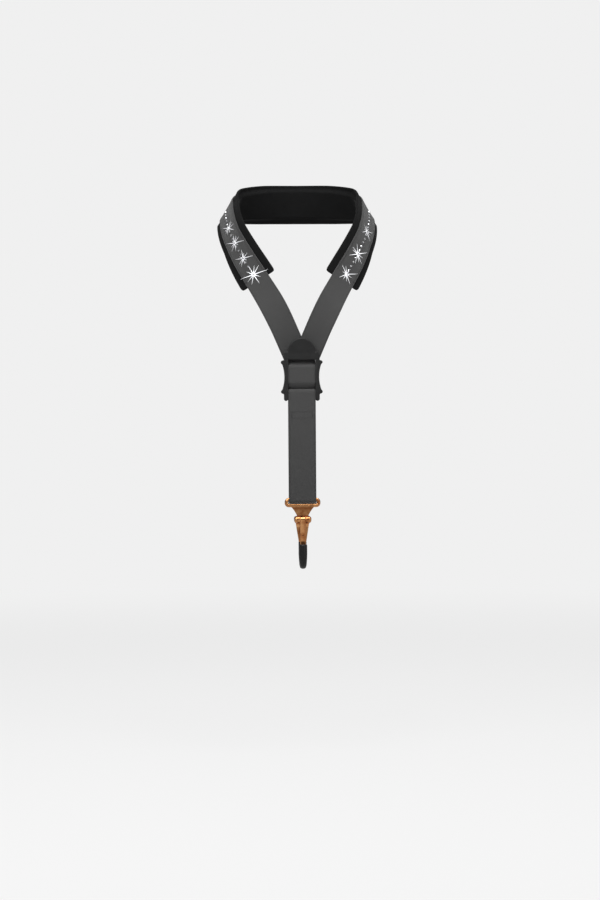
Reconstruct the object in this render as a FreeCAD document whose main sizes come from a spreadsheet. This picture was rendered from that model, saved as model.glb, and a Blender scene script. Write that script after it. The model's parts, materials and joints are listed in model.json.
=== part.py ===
import FreeCAD, Part
import math
import os

from FreeCAD import Placement, Rotation, Vector

# Padded neck strap for a saxophone.
#
# The origin is the middle of the pad's inner face at the nape, where the strap bears on the
# wearer's neck.  X runs across (the viewer's right), the viewer stands on the -Y side, +Z is up.
# A padded band goes round the neck, its two arms meet in a V on the chest, and one drop web
# hangs from the V.  That web is threaded through a moulded three-bar slider and round the bar
# of a swivel snap hook, so the hook rises and falls by half of what the slider travels.

doc = FreeCAD.newDocument("SaxNeckStrap")
sheet = doc.addObject("Spreadsheet::Sheet", "Sizes")

SIZES = [
    # The strap's line, from the nape down to the V: how long each run is, how far it bends
    # towards the neck, how far it twists, and (once) how far it eases sideways, in degrees.
    ("nape_lean", 3), ("run1_length", 41), ("run1_bend", 35), ("run1_twist", -9),
    ("run2_length", 40), ("run2_bend", 8), ("run2_twist", -20),
    ("run3_length", 28), ("run3_bend", 52), ("run3_twist", -20),
    ("run4_length", 53), ("run4_bend", 20), ("run4_twist", 2),
    ("run5_length", 51), ("run5_bend", 12), ("run5_twist", -15),
    ("run6_length", 48), ("run6_bend", 0), ("run6_twist", -11),
    ("run7_length", 43), ("run7_bend", 30.2), ("run7_twist", -14), ("run7_ease", 10),
    ("run8_length", 46),
    # Neck pad
    ("pad_length", 456), ("pad_width", 45), ("pad_skin", 1.2), ("foam_height", 5),
    ("foam_width", 31), ("pad_slope", 2.7), ("pad_corner", 4), ("pad_end_ramp", 9),
    ("sew_gap", 0.25), ("foam_clear", 0.3), ("section_pitch", 6),
    # Webbing
    ("neck_web_width", 28), ("drop_web_width", 30), ("web_thick", 1.4), ("web_clear", 0.2),
    ("arm_lap_gap", 0.3), ("arm_end_rise", 17.2), ("arm_end_low", 6), ("drop_top_length", 18),
    ("lap_start", 8), ("lap_run", 62), ("cut_room", 120),
    # Crystals along the web on the pad
    ("crystal_count", 18), ("crystal_pitch", 6.6), ("crystal_size", 2.6), ("crystal_rise", 1.3),
    ("crystal_end_gap", 5),
    # Slider
    ("rail_half", 19), ("rail_width", 3.75), ("rail_back", 2.6), ("rail_front", 4.4),
    ("top_bar_low", 16.3), ("top_bar_high", 24.9), ("top_bar_back", 1.4),
    ("shoulder_round", 2.4), ("dome_half", 14.7), ("dome_height", 14.4), ("dome_thick", 4.4),
    ("dome_shoulder", 0.8), ("dome_root", 1.2), ("dome_rim", 1.5), ("panel_deep", 0.45),
    ("dome_lean", 7), ("ear_reach", 22.7), ("ear_high", 15.6), ("ear_low", -20.6),
    ("waist_half", 18.6), ("foot_low", -27.9), ("bar_thick", 4.6), ("middle_bar_high", 20),
    ("low_bar_top", -17), ("low_bar_high", 7.6), ("sewn_end_low", -52),
    # Swivel ring
    ("ring_drop", 136.5), ("ring_half", 19.55), ("ring_wire", 4.2), ("ring_corner", 2.5),
    ("plate_top_half", 12.1), ("plate_low_half", 6.1), ("plate_high", 9.2),
    ("plate_deep", 7.8), ("plate_top_deep", 4), ("plate_edge", 0.6), ("stud_size", 3.4),
    ("stud_head", 5.2), ("stud_head_high", 1.8), ("stud_wall", 3.2), ("turn_clear", 0.06),
    ("swivel_gap", 0.25),
    # Hook
    ("hook_half", 9.25), ("knuckle_high", 7.4), ("knuckle_round", 2.8), ("leg_spacing", 20),
    ("leg_size", 8.8),
    ("core_size", 5), ("shank_thick", 5), ("shank_low_half", 4.1), ("shank_length", 28.6),
    ("hook_length", 57.7), ("nose_rise", 12.8), ("nose_round", 1.4),
    ("sleeve_low_half", 3.7), ("sleeve_taper", 18), ("sleeve_gap", 0.02),
    ("gate_width", 6), ("gate_side_gap", 0.2), ("gate_thick", 2.4), ("gate_length", 29.6),
    ("pivot_forward", 7), ("pivot_knuckle", 3.2), ("pin_size", 2.4), ("nose_gap", 0.1),
    ("spring_wire", 0.6), ("spring_half", 1.5),
]
for row, (alias, value) in enumerate(SIZES, start=1):
    sheet.set("A%d" % row, alias.replace("_", " "))
    sheet.set("B%d" % row, str(value))
    sheet.setAlias("B%d" % row, alias)
doc.recompute()


def size(alias):
    return float(sheet.get(alias))


nodes = {}


def add_node(name, obj):
    obj.Label = name
    nodes[name] = obj
    return obj


def add_shape(name, shape, place=None):
    """A sub-part whose shape is made here with Part's own functions."""
    feature = doc.addObject("Part::Feature", name)
    feature.Shape = shape
    if place is not None:
        feature.Placement = place
    return add_node(name, feature)


# ---------------------------------------------------------------- the strap's line
# A web bends freely across its flat side and twists, but hardly bends edgeways.  So the line
# is a chain of runs, each with a constant bend and twist per millimetre, and the frame that
# goes along it has T along the web, N out of its outer face and W across to its outer edge.

RUNS = [(size("run%d_length" % i), size("run%d_bend" % i), size("run%d_twist" % i),
         size("run%d_ease" % i) if i == 7 else 0.0) for i in range(1, 8)]
RUNS.append((size("run8_length"), 0.0, 0.0, 0.0))
WEB = size("web_thick")
SEW = size("sew_gap")
PAD_THICK = 2 * size("pad_skin") + SEW + size("foam_height")
HALF_PAD = size("pad_length") / 2
LINE_HALF = sum(run[0] for run in RUNS)


class Station:
    def __init__(self, at, place, along, out, across):
        self.at = at
        self.place = place
        self.along = along
        self.out = out
        self.across = across

    def point(self, v, n):
        return self.place + self.across * v + self.out * n

    def mirrored(self):
        def flip(vec):
            return Vector(-vec.x, vec.y, vec.z)
        return Station(-self.at, flip(self.place), -flip(self.along), flip(self.out),
                       flip(self.across))


def advance(st, run, distance):
    """The station a distance further along a run of constant bend, twist and ease."""
    length, bend, twist, ease = run
    spin = (st.along * (-twist) + st.across * bend + st.out * ease) * (math.pi / 180 / length)
    rate = spin.Length
    if rate < 1e-9:
        return Station(st.at + distance, st.place + st.along * distance, st.along, st.out,
                       st.across)
    axis = spin * (1 / rate)
    angle = rate * distance
    turn = Rotation(axis, math.degrees(angle))
    steady = axis * axis.dot(st.along)
    swept = (st.along - steady) * math.sin(angle) + axis.cross(st.along) * (1 - math.cos(angle))
    place = st.place + steady * distance + swept * (1 / rate)
    return Station(st.at + distance, place, turn.multVec(st.along), turn.multVec(st.out),
                   turn.multVec(st.across))


def station(at):
    lean = math.radians(size("nape_lean"))
    out = Vector(0, math.cos(lean), math.sin(lean))
    st = Station(0.0, out * PAD_THICK, Vector(1, 0, 0), out, out.cross(Vector(1, 0, 0)))
    left = abs(at)
    for run in RUNS:
        part = min(left, run[0])
        st = advance(st, run, part)
        left -= part
        if left <= 0:
            break
    return st.mirrored() if at < 0 else st


def spaced(start, end, pitch):
    count = max(2, int(math.ceil((end - start) / pitch)))
    return [start + (end - start) * i / count for i in range(count + 1)]


SECTIONS_PER_LOFT = 8


def band(places, corners):
    """A closed solid along the strap: corners(at) gives its section as (across, out) pairs.

    It is lofted a few sections at a time, which keeps each loft's surfaces short and exact.
    """
    wires = []
    for at in places:
        st = station(at)
        ring = [st.point(*corner) for corner in corners(at)]
        wires.append(Part.makePolygon(ring + ring[:1]))
    lofts = []
    for i in range(0, len(wires) - 1, SECTIONS_PER_LOFT):
        lofts.append(Part.makeLoft(wires[i:i + SECTIONS_PER_LOFT + 1], True, False))
    return lofts[0].fuse(lofts[1:])


def ease_in(x):
    x = max(0.0, min(1.0, x))
    return x * x * (3 - 2 * x)


# ---------------------------------------------------------------- neck pad
# Two skins are sewn together round the edge with a foam core between them.  The outer skin is
# flat, because the web is sewn along it, and the lining bulges towards the neck.

PAD_HALF = size("pad_width") / 2
SKIN = size("pad_skin")
PAD_PLACES = sorted(set(
    [-HALF_PAD + d for d in (0, 2.5, 4.5, 6.5, size("pad_end_ramp"))]
    + spaced(-HALF_PAD + size("pad_end_ramp") + 4, HALF_PAD - size("pad_end_ramp") - 4,
             size("section_pitch"))
    + [HALF_PAD - d for d in (size("pad_end_ramp"), 6.5, 4.5, 2.5, 0)]))


def foam_rise(at):
    """How high the foam stands between the skins: it runs out before the pad's ends."""
    inside = HALF_PAD - abs(at) - 1.5
    return size("foam_height") * ease_in(inside / size("pad_end_ramp"))


def cover_section(at):
    return [(-PAD_HALF, 0), (PAD_HALF, 0), (PAD_HALF, -SKIN), (-PAD_HALF, -SKIN)]


def lining_section(at):
    flat = -SKIN - SEW
    rise = foam_rise(at)
    top_half = size("foam_width") / 2
    foot_half = top_half + size("pad_slope")
    side = SKIN * 0.5
    return [(-PAD_HALF, flat), (-foot_half, flat), (-top_half, flat - rise),
            (top_half, flat - rise), (foot_half, flat), (PAD_HALF, flat),
            (PAD_HALF, flat - SKIN), (foot_half + side, flat - SKIN),
            (top_half + side, flat - rise - SKIN), (-top_half - side, flat - rise - SKIN),
            (-foot_half - side, flat - SKIN), (-PAD_HALF, flat - SKIN)]


def foam_section(at):
    clear = size("foam_clear")
    flat = -SKIN - clear
    rise = foam_rise(at) - 2 * clear + SEW
    top_half = size("foam_width") / 2 - clear
    foot_half = top_half + size("pad_slope") * rise / (rise + 2 * clear)
    return [(-foot_half, flat), (foot_half, flat), (top_half, flat - rise),
            (-top_half, flat - rise)]


def corner_cutters():
    """What is taken off the pad's four corners to round them."""
    radius = size("pad_corner")
    cutters = []
    for at in (-HALF_PAD, HALF_PAD):
        st = station(at)
        inward = st.along * (-1 if at > 0 else 1)
        for side in (-1, 1):
            edge = st.across * side
            corner = st.place + edge * PAD_HALF
            start = corner + inward * radius
            end = corner - edge * radius
            bulge = corner + (inward - edge) * (radius * (1 - math.sqrt(0.5)))
            far = corner - inward * radius + edge * radius
            outer = [end, end - inward * radius, far, start + edge * radius, start]
            lines = [Part.LineSegment(a, b).toShape() for a, b in zip(outer, outer[1:])]
            lines.append(Part.Arc(start, bulge, end).toShape())
            face = Part.Face(Part.Wire(lines))
            face.translate(st.out * radius)
            cutters.append(face.extrude(st.out * (-3 * radius)))
    return cutters


def make_pad():
    cutters = corner_cutters()
    cover = band(PAD_PLACES, cover_section).cut(cutters)
    lining = band(PAD_PLACES, lining_section).cut(cutters)
    foam_end = HALF_PAD - size("pad_end_ramp") + 1
    foam = band([at for at in PAD_PLACES if abs(at) <= foam_end], foam_section)
    add_shape("pad_cover", cover)
    add_shape("pad_lining", lining)
    add_shape("pad_foam", foam)


# ---------------------------------------------------------------- where the V and drop web lie
V_STATION = station(LINE_HALF)
# Behind the slider lie, from front to back, the right arm's end, the left one's and the drop
# web's, and the slider runs just in front of them.
LAP = WEB + size("arm_lap_gap")
SLIDER_Y = V_STATION.place.y - (SEW + LAP / 2 + WEB + size("web_clear")
                                + size("top_bar_back"))
STRAP_CROSS_Z = V_STATION.place.z - V_STATION.place.x * V_STATION.along.z / V_STATION.along.x
ARM_END_Z = STRAP_CROSS_Z + size("arm_end_low")
SLIDER_Z = ARM_END_Z - size("arm_end_rise")
RING_Z = SLIDER_Z - size("ring_drop")
BAR_HALF = size("bar_thick") / 2
WEB_ROUND = BAR_HALF + size("web_clear") + WEB / 2
DROP_F = -(size("top_bar_back") + size("web_clear") + 2 * LAP + WEB / 2)


def arm_offset(at):
    """The right arm passes over the left one, so each eases half a lap to its own side."""
    past = abs(at) - HALF_PAD - size("lap_start")
    shift = LAP / 2 * ease_in(past / size("lap_run"))
    return shift if at > 0 else -shift


def neck_web_section(at):
    half = size("neck_web_width") / 2
    low = SEW + arm_offset(at)
    return [(-half, low), (half, low), (half, low + WEB), (-half, low + WEB)]


def crystal_places():
    """Where the stones lie along one side, from the pad's end up to the shoulder."""
    first = HALF_PAD - size("crystal_end_gap")
    return [first - i * size("crystal_pitch") for i in range(int(size("crystal_count")))]


def make_neck_web():
    # The web has a section under every stone, so that each stone sits on its true surface.
    stones = crystal_places()
    pitch = size("section_pitch")
    arm = spaced(stones[0], LINE_HALF, pitch)[1:]
    side = stones[::-1] + arm
    nape = spaced(-stones[-1], stones[-1], pitch)[1:-1]
    web = band([-at for at in side[::-1]] + nape + side, neck_web_section)
    room = size("cut_room")
    below = Part.makeBox(room, room, room,
                         Vector(-room / 2, V_STATION.place.y - room / 2, ARM_END_Z - room))
    add_shape("neck_web", web.cut(below))


# ---------------------------------------------------------------- crystals
def crystal(st):
    """One cut stone, an eight-sided frustum on a low girdle, flat side on the web."""
    face = SEW + WEB + 0.02
    levels = ((0, 1.0), (0.28, 1.0), (1.0, 0.55))
    rings = []
    for share, spread in levels:
        ring = []
        for i in range(8):
            angle = math.pi / 4 * (i + 0.5)
            reach = size("crystal_size") / 2 * spread
            centre = st.point(0, face + size("crystal_rise") * share)
            ring.append(centre + st.along * (reach * math.cos(angle))
                        + st.across * (reach * math.sin(angle)))
        rings.append(ring)
    faces = [Part.Face(Part.makePolygon(ring + ring[:1])) for ring in (rings[0], rings[-1])]
    for low, high in zip(rings, rings[1:]):
        for i in range(8):
            j = (i + 1) % 8
            faces.append(Part.Face(Part.makePolygon([low[i], low[j], high[j], high[i], low[i]])))
    shell = Part.makeShell(faces)
    shell.sewShape()
    solid = Part.makeSolid(shell)
    if solid.Volume < 0:
        solid.reverse()
    return solid


def make_crystals():
    for side, sign in (("left", -1), ("right", 1)):
        for i, at in enumerate(crystal_places()):
            add_shape("crystal_%s_%02d" % (side, i + 1), crystal(station(sign * at)))


# ---------------------------------------------------------------- drop web
# The web's route is drawn from the side, as (forward, up) from the slider's middle bar.  A
# stop is a round with a signed radius: positive when the round lies to the right of travel.

class Piece:
    def __init__(self, start, end, centre=None, middle=None):
        self.start = start
        self.end = end
        self.centre = centre
        self.middle = middle


def route(stops):
    normals = []
    for (f1, z1, r1), (f2, z2, r2) in zip(stops, stops[1:]):
        gap = math.hypot(f2 - f1, z2 - z1)
        heading = math.atan2(z2 - z1, f2 - f1)
        normals.append(heading + math.acos((r1 - r2) / gap))
    pieces = []
    for i, angle in enumerate(normals):
        (f1, z1, r1), (f2, z2, r2) = stops[i], stops[i + 1]
        start = (f1 + r1 * math.cos(angle), z1 + r1 * math.sin(angle))
        end = (f2 + r2 * math.cos(angle), z2 + r2 * math.sin(angle))
        pieces.append(Piece(start, end))
        if i + 1 < len(normals) and abs(r2) > 0:
            turn = (normals[i + 1] - angle) % (2 * math.pi)
            if r2 > 0:
                turn -= 2 * math.pi
            if abs(turn) > 2 * math.pi - 1e-6 or abs(turn) < 1e-6:
                continue
            spots = [(f2 + r2 * math.cos(angle + turn * share),
                      z2 + r2 * math.sin(angle + turn * share)) for share in (0.5, 1.0)]
            pieces.append(Piece(end, spots[1], (f2, z2), spots[0]))
    return pieces


def split_at(pieces, height, nth=0):
    """Cut the route where its nth straight piece crosses a height."""
    found = 0
    for i, piece in enumerate(pieces):
        high, low = max(piece.start[1], piece.end[1]), min(piece.start[1], piece.end[1])
        if piece.centre is None and low < height < high:
            if found == nth:
                share = (height - piece.start[1]) / (piece.end[1] - piece.start[1])
                spot = (piece.start[0] + share * (piece.end[0] - piece.start[0]), height)
                return (pieces[:i] + [Piece(piece.start, spot)],
                        [Piece(spot, piece.end)] + pieces[i + 1:])
            found += 1
    raise ValueError("the web's route has no such height")


def web_solid(pieces, width):
    """The web along a route: its section's edges are the route moved by half a thickness."""
    half = WEB / 2

    def moved(piece, side):
        if piece.centre is None:
            length = math.hypot(piece.end[0] - piece.start[0], piece.end[1] - piece.start[1])
            nf = -(piece.end[1] - piece.start[1]) / length * half * side
            nz = (piece.end[0] - piece.start[0]) / length * half * side
            return [(p[0] + nf, p[1] + nz) for p in (piece.start, piece.end)]
        cf, cz = piece.centre
        radius = math.hypot(piece.start[0] - cf, piece.start[1] - cz)
        ccw = ((piece.start[0] - cf) * (piece.middle[1] - cz)
               - (piece.start[1] - cz) * (piece.middle[0] - cf)) > 0
        scale = (radius - half * side * (1 if ccw else -1)) / radius
        return [(cf + (p[0] - cf) * scale, cz + (p[1] - cz) * scale)
                for p in (piece.start, piece.middle, piece.end)]

    def spot(p):
        return Vector(-width / 2, -p[0], p[1])

    edges = []
    for side in (1, -1):
        for piece in pieces:
            places = [spot(p) for p in moved(piece, side)]
            if len(places) == 2:
                edges.append(Part.LineSegment(*places).toShape())
            else:
                edges.append(Part.Arc(*places).toShape())
    first, last = [moved(pieces[0], s)[0] for s in (1, -1)], [moved(pieces[-1], s)[-1]
                                                              for s in (1, -1)]
    edges.append(Part.LineSegment(spot(first[0]), spot(first[1])).toShape())
    edges.append(Part.LineSegment(spot(last[0]), spot(last[1])).toShape())
    wire = Part.Wire(Part.__sortEdges__(edges))
    return Part.Face(wire).extrude(Vector(width, 0, 0))


def make_drop_web():
    width = size("drop_web_width")
    middle_round = size("middle_bar_high") / 2 - BAR_HALF
    low_round_top = size("low_bar_top") - BAR_HALF
    low_round_low = size("low_bar_top") - size("low_bar_high") + BAR_HALF
    pass_round = WEB_ROUND + WEB + size("web_clear")
    start_z = size("arm_end_rise") + 0.4
    tail_f = WEB_ROUND - WEB - size("arm_lap_gap")
    bend = 3.0
    soft = 6.0
    ring_z = -size("ring_drop")
    stops = [
        (DROP_F, start_z, 0), (DROP_F + bend, start_z - 1.2, -bend),
        (0, middle_round, WEB_ROUND), (0, -middle_round, WEB_ROUND),
        (0, low_round_top, -pass_round), (0, low_round_low, -pass_round),
        (0, ring_z, -WEB_ROUND),
        (0, low_round_low, -WEB_ROUND), (0, low_round_top, -WEB_ROUND),
        (0, low_round_low, -WEB_ROUND),
        (tail_f - soft, size("foot_low") - 6, soft), (tail_f, size("sewn_end_low") + 2, 0)]
    whole = route(stops)
    over_z = size("low_bar_top") - size("low_bar_high") - 2
    loop_z = ring_z + 4
    over, rest = split_at(whole, over_z)
    back, rest = split_at(rest, loop_z)
    loop, rest = split_at(rest, loop_z)
    front, sewn = split_at(rest, size("sewn_end_low"))
    place = Placement(Vector(0, SLIDER_Y, SLIDER_Z), Rotation())
    add_shape("web_over_bar", web_solid(over, width), place)
    add_shape("web_back_leg", web_solid(back, width), place)
    add_shape("web_loop", web_solid(loop, width), place)
    add_shape("web_front_leg", web_solid(front, width), place)
    add_shape("web_sewn_end", web_solid(sewn, width), place)
    top = doc.addObject("Part::Box", "web_drop_top")
    top.setExpression("Length", "Sizes.drop_web_width")
    top.setExpression("Width", "Sizes.web_thick")
    top.setExpression("Height", "Sizes.drop_top_length")
    top.Placement = Placement(Vector(-width / 2, SLIDER_Y - DROP_F - WEB / 2,
                                     SLIDER_Z + start_z), Rotation())
    add_node("web_drop_top", top)


# ---------------------------------------------------------------- sketch and feature helpers
def new_body(name, place):
    body = doc.addObject("PartDesign::Body", name)
    body.Placement = place
    return add_node(name, body)


def new_sketch(body, name, role, curves, offset=0.0, tilt=None):
    sketch = body.newObject("Sketcher::SketchObject", name)
    plane = [f for f in body.Origin.OriginFeatures if f.Role == role][0]
    sketch.AttachmentSupport = (plane, "")
    sketch.MapMode = "FlatFace"
    sketch.AttachmentOffset = tilt or Placement(Vector(0, 0, offset), Rotation())
    sketch.addGeometry(curves, False)
    return sketch


def loop(*steps):
    """A closed outline: a step is a corner, or (middle, end) for an arc."""
    def vec(p):
        return Vector(p[0], p[1], 0)
    curves = []
    here = steps[0]
    for step in list(steps[1:]) + [steps[0]]:
        if isinstance(step[0], tuple):
            curves.append(Part.Arc(vec(here), vec(step[0]), vec(step[1])))
            here = step[1]
        else:
            if vec(here).distanceToPoint(vec(step)) > 1e-6:
                curves.append(Part.LineSegment(vec(here), vec(step)))
            here = step
    return curves


def circle(x, y, radius):
    return [Part.Circle(Vector(x, y, 0), Vector(0, 0, 1), radius)]


def pad(body, sketch, name, length, both=False):
    feature = body.newObject("PartDesign::Pad", name)
    feature.Profile = sketch
    if isinstance(length, str):
        feature.setExpression("Length", length)
    else:
        feature.Length = length
    feature.Midplane = both
    return feature


def pocket(body, sketch, name, length, back=False, both=False):
    feature = body.newObject("PartDesign::Pocket", name)
    feature.Profile = sketch
    feature.Length = length
    feature.Reversed = back
    feature.Midplane = both
    return feature


def round_edges(body, name, radius, wanted):
    """A fillet on the body's edges that answer to a rule."""
    tip = body.Tip
    names = ["Edge%d" % (i + 1) for i, edge in enumerate(tip.Shape.Edges) if wanted(edge)]
    feature = body.newObject("PartDesign::Fillet", name)
    feature.Base = (tip, names)
    feature.Radius = radius
    return feature


# ---------------------------------------------------------------- slider
def rail_outline(side):
    """One rail from the front: two finger ears with a hollow between them, and a round foot."""
    outer = size("rail_half")
    inner = outer - size("rail_width")
    reach = size("ear_reach")
    high, low = size("ear_high"), size("ear_low")
    foot = size("foot_low")
    waist = size("waist_half")
    round_foot = (outer - inner) / 2
    tip = 1.3
    steps = [
        (inner, size("top_bar_low")), (outer, size("top_bar_low")), (outer + 0.5, high),
        (reach - tip, high), ((reach - 0.3, high - 0.4), (reach, high - tip)),
        ((reach - 0.2, high - 2.1), (reach - 0.9, high - 3.2)),
        ((waist, (high + low) / 2), (reach - 0.8, low + 3.4)),
        ((reach, low + 1.9), (reach - 0.4, low + 0.6)),
        ((reach - 1.1, low), (reach - 2.0, low + 0.1)), (outer, low - 0.7),
        (outer, foot + round_foot),
        ((outer - round_foot, foot), (inner, foot + round_foot))]
    flipped = []
    for step in steps:
        if isinstance(step[0], tuple):
            flipped.append(tuple((side * p[0], p[1]) for p in step))
        else:
            flipped.append((side * step[0], step[1]))
    return loop(*flipped)


def stadium(centre_z, half_z):
    """A bar's section, its top and bottom edges fully round, in (Y, Z)."""
    straight = half_z - BAR_HALF
    top, low = centre_z + straight, centre_z - straight
    return loop((-BAR_HALF, low), (-BAR_HALF, top), ((0, top + BAR_HALF), (BAR_HALF, top)),
                (BAR_HALF, low), ((0, low - BAR_HALF), (-BAR_HALF, low)))


def dome_outline(inset):
    """The thumb tab's round outline, or the same shape drawn in by a rim."""
    half, rise = size("dome_half") - inset, size("dome_height") - inset
    foot = size("dome_root") + inset if inset else 0
    shoulder = max(size("dome_shoulder"), foot + 0.1)
    rise -= shoulder - size("dome_shoulder")

    def on_round(angle):
        return (half * math.cos(angle), shoulder + rise * math.sin(angle))
    low, high = math.radians(30), math.radians(60)
    return loop(
        (-half, foot), (half, foot), (half, shoulder), (on_round(low), on_round(high)),
        (on_round(math.pi / 2), on_round(math.pi - high)),
        (on_round(math.pi - low), (-half, shoulder)))


def make_slider():
    body = new_body("slider_frame", Placement(Vector(0, SLIDER_Y, SLIDER_Z), Rotation()))
    for side, word in ((-1, "Left"), (1, "Right")):
        rail = new_sketch(body, word + "RailOutline", "XZ_Plane", rail_outline(side),
                          -size("rail_back"))
        pad(body, rail, word + "Rail", "Sizes.rail_back + Sizes.rail_front")
    outer = size("rail_half")
    low, high = size("top_bar_low"), size("top_bar_high")
    corner = size("shoulder_round")
    top = new_sketch(body, "TopBarOutline", "XZ_Plane", loop(
        (-outer, low), (outer, low), (outer, high - corner),
        ((outer - 0.29 * corner, high - 0.29 * corner), (outer - corner, high)),
        (corner - outer, high),
        ((0.29 * corner - outer, high - 0.29 * corner), (-outer, high - corner))),
        -size("top_bar_back"))
    pad(body, top, "TopBar", "Sizes.top_bar_back + Sizes.rail_front")
    root = Placement(Vector(0, high - size("dome_root"), -size("top_bar_back")),
                     Rotation(Vector(1, 0, 0), size("dome_lean")))
    dome = new_sketch(body, "DomeOutline", "XZ_Plane", dome_outline(0), tilt=root)
    pad(body, dome, "DomeTab", "Sizes.dome_thick")
    face = root.multiply(Placement(Vector(0, 0, size("dome_thick")), Rotation()))
    panel = new_sketch(body, "PanelOutline", "XZ_Plane", dome_outline(size("dome_rim")),
                       tilt=face)
    pocket(body, panel, "DomePanel", size("panel_deep"))
    span = 2 * (outer - size("rail_width") / 2)
    middle = new_sketch(body, "MiddleBarSection", "YZ_Plane",
                        stadium(0, size("middle_bar_high") / 2))
    pad(body, middle, "MiddleBar", span, both=True)
    low_half = size("low_bar_high") / 2
    bottom = new_sketch(body, "LowBarSection", "YZ_Plane",
                        stadium(size("low_bar_top") - low_half, low_half))
    pad(body, bottom, "LowBar", span, both=True)


# ---------------------------------------------------------------- swivel ring and stud
RING_LOW = -(WEB_ROUND + WEB / 2 + size("web_clear"))
FRAME_LOW = RING_LOW - size("ring_wire")
PLATE_LOW = FRAME_LOW - size("plate_high")
RING_PLACE = Placement(Vector(0, SLIDER_Y, RING_Z), Rotation())


def ring_loop():
    """The loop of round wire: four straight stretches and four round corners."""
    wire = size("ring_wire") / 2
    corner = size("ring_corner")
    half = size("ring_half") - wire
    low = RING_LOW - wire
    straight = half - corner
    side, up = Vector(1, 0, 0), Vector(0, 0, 1)
    upright = -low - 2 * corner
    rods = [Part.makeCylinder(wire, 2 * straight, Vector(-straight, 0, 0), side),
            Part.makeCylinder(wire, 2 * straight, Vector(-straight, 0, low), side)]
    for sign in (-1, 1):
        rods.append(Part.makeCylinder(wire, upright, Vector(sign * half, 0, low + corner), up))
        for z, turn in ((-corner, 0), (low + corner, 90)):
            start = turn if sign > 0 else 270 - turn
            bend = Part.makeTorus(corner, wire, Vector(), Vector(0, 1, 0), -180, 180, 90)
            bend.rotate(Vector(), Vector(0, 1, 0), start)
            bend.translate(Vector(sign * straight, 0, z))
            rods.append(bend)
    return rods


def make_ring():
    body = doc.addObject("PartDesign::Body", "RingPlate")
    top_half, low_half = size("plate_top_half"), size("plate_low_half")
    neck = (top_half + low_half) / 2 - 0.5
    deep = size("plate_deep")
    top = RING_LOW - size("ring_wire") / 2
    plate = new_sketch(body, "PlateOutline", "XZ_Plane", loop(
        (-top_half, top), (top_half, top), (top_half, FRAME_LOW),
        ((neck, (FRAME_LOW + PLATE_LOW) / 2), (low_half, PLATE_LOW)), (-low_half, PLATE_LOW),
        ((-neck, (FRAME_LOW + PLATE_LOW) / 2), (-top_half, FRAME_LOW))), -deep / 2)
    pad(body, plate, "Plate", "Sizes.plate_deep")
    top_deep = size("plate_top_deep") / 2
    floor = PLATE_LOW + size("stud_wall")
    for sign, word in ((-1, "Back"), (1, "Front")):
        # Seen from the side the plate swells from the wire to the swivel's barrel.
        slope = new_sketch(body, word + "SlopeOutline", "YZ_Plane", loop(
            (sign * top_deep, top), (sign * deep / 2, floor + size("stud_head_high")),
            (sign * deep, floor + size("stud_head_high")), (sign * deep, top)))
        pocket(body, slope, word + "Slope", 4 * top_half, both=True)
    doc.recompute()

    def plate_edge(edge):
        box = edge.BoundBox
        return (box.YMin > 0.9 * top_deep or box.YMax < -0.9 * top_deep) and box.ZMax < top - 1
    round_edges(body, "PlateEdges", size("plate_edge"), plate_edge)
    head = size("stud_head") / 2 + 0.3
    seat = new_sketch(body, "HeadPocketOutline", "XZ_Plane", loop(
        (-head, floor), (head, floor), (head, floor + size("stud_head_high") + 1.2),
        (-head, floor + size("stud_head_high") + 1.2)), head)
    pocket(body, seat, "HeadPocket", deep)
    bore = new_sketch(body, "StudBoreOutline", "XY_Plane",
                      circle(0, 0, size("stud_size") / 2 + size("turn_clear")), PLATE_LOW - 1)
    pocket(body, bore, "StudBore", size("stud_wall") + 2, back=True)
    doc.recompute()
    add_shape("swivel_ring", body.Shape.fuse(ring_loop()), RING_PLACE)


def make_stud():
    body = new_body("swivel_stud", RING_PLACE)
    floor = PLATE_LOW + size("stud_wall") + size("turn_clear")
    head = new_sketch(body, "HeadOutline", "XY_Plane", circle(0, 0, size("stud_head") / 2),
                      floor)
    pad(body, head, "Head", "Sizes.stud_head_high")
    reach = size("stud_wall") + size("swivel_gap") + 5
    shaft = new_sketch(body, "ShaftOutline", "XY_Plane", circle(0, 0, size("stud_size") / 2),
                       floor - reach)
    pad(body, shaft, "Shaft", reach)


# ---------------------------------------------------------------- snap hook
HOOK_PLACE = Placement(Vector(0, SLIDER_Y, RING_Z + PLATE_LOW - size("swivel_gap")), Rotation())
LEG = size("leg_spacing") / 2
LEG_HALF = size("leg_size") / 2
BEND_Z = -(size("hook_length") - LEG_HALF - LEG)
PIVOT_Z = -size("knuckle_high") / 2
NOSE_Z = -size("hook_length") + LEG + LEG_HALF + size("nose_rise")


def j_wire(top, nose):
    """The hook's line from the side: down the back leg, round the bend, up to the nose."""
    back, front = Vector(0, LEG, top), Vector(0, -LEG, nose)
    low_back, low_front = Vector(0, LEG, BEND_Z), Vector(0, -LEG, BEND_Z)
    return Part.Wire([Part.LineSegment(back, low_back).toShape(),
                      Part.Arc(low_back, Vector(0, 0, BEND_Z - LEG), low_front).toShape(),
                      Part.LineSegment(low_front, front).toShape()])


def round_rod(radius, top, nose):
    ring = Part.Wire(Part.Circle(Vector(0, LEG, top), Vector(0, 0, 1), radius).toShape())
    return j_wire(top, nose).makePipeShell([ring], True, False)


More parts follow.
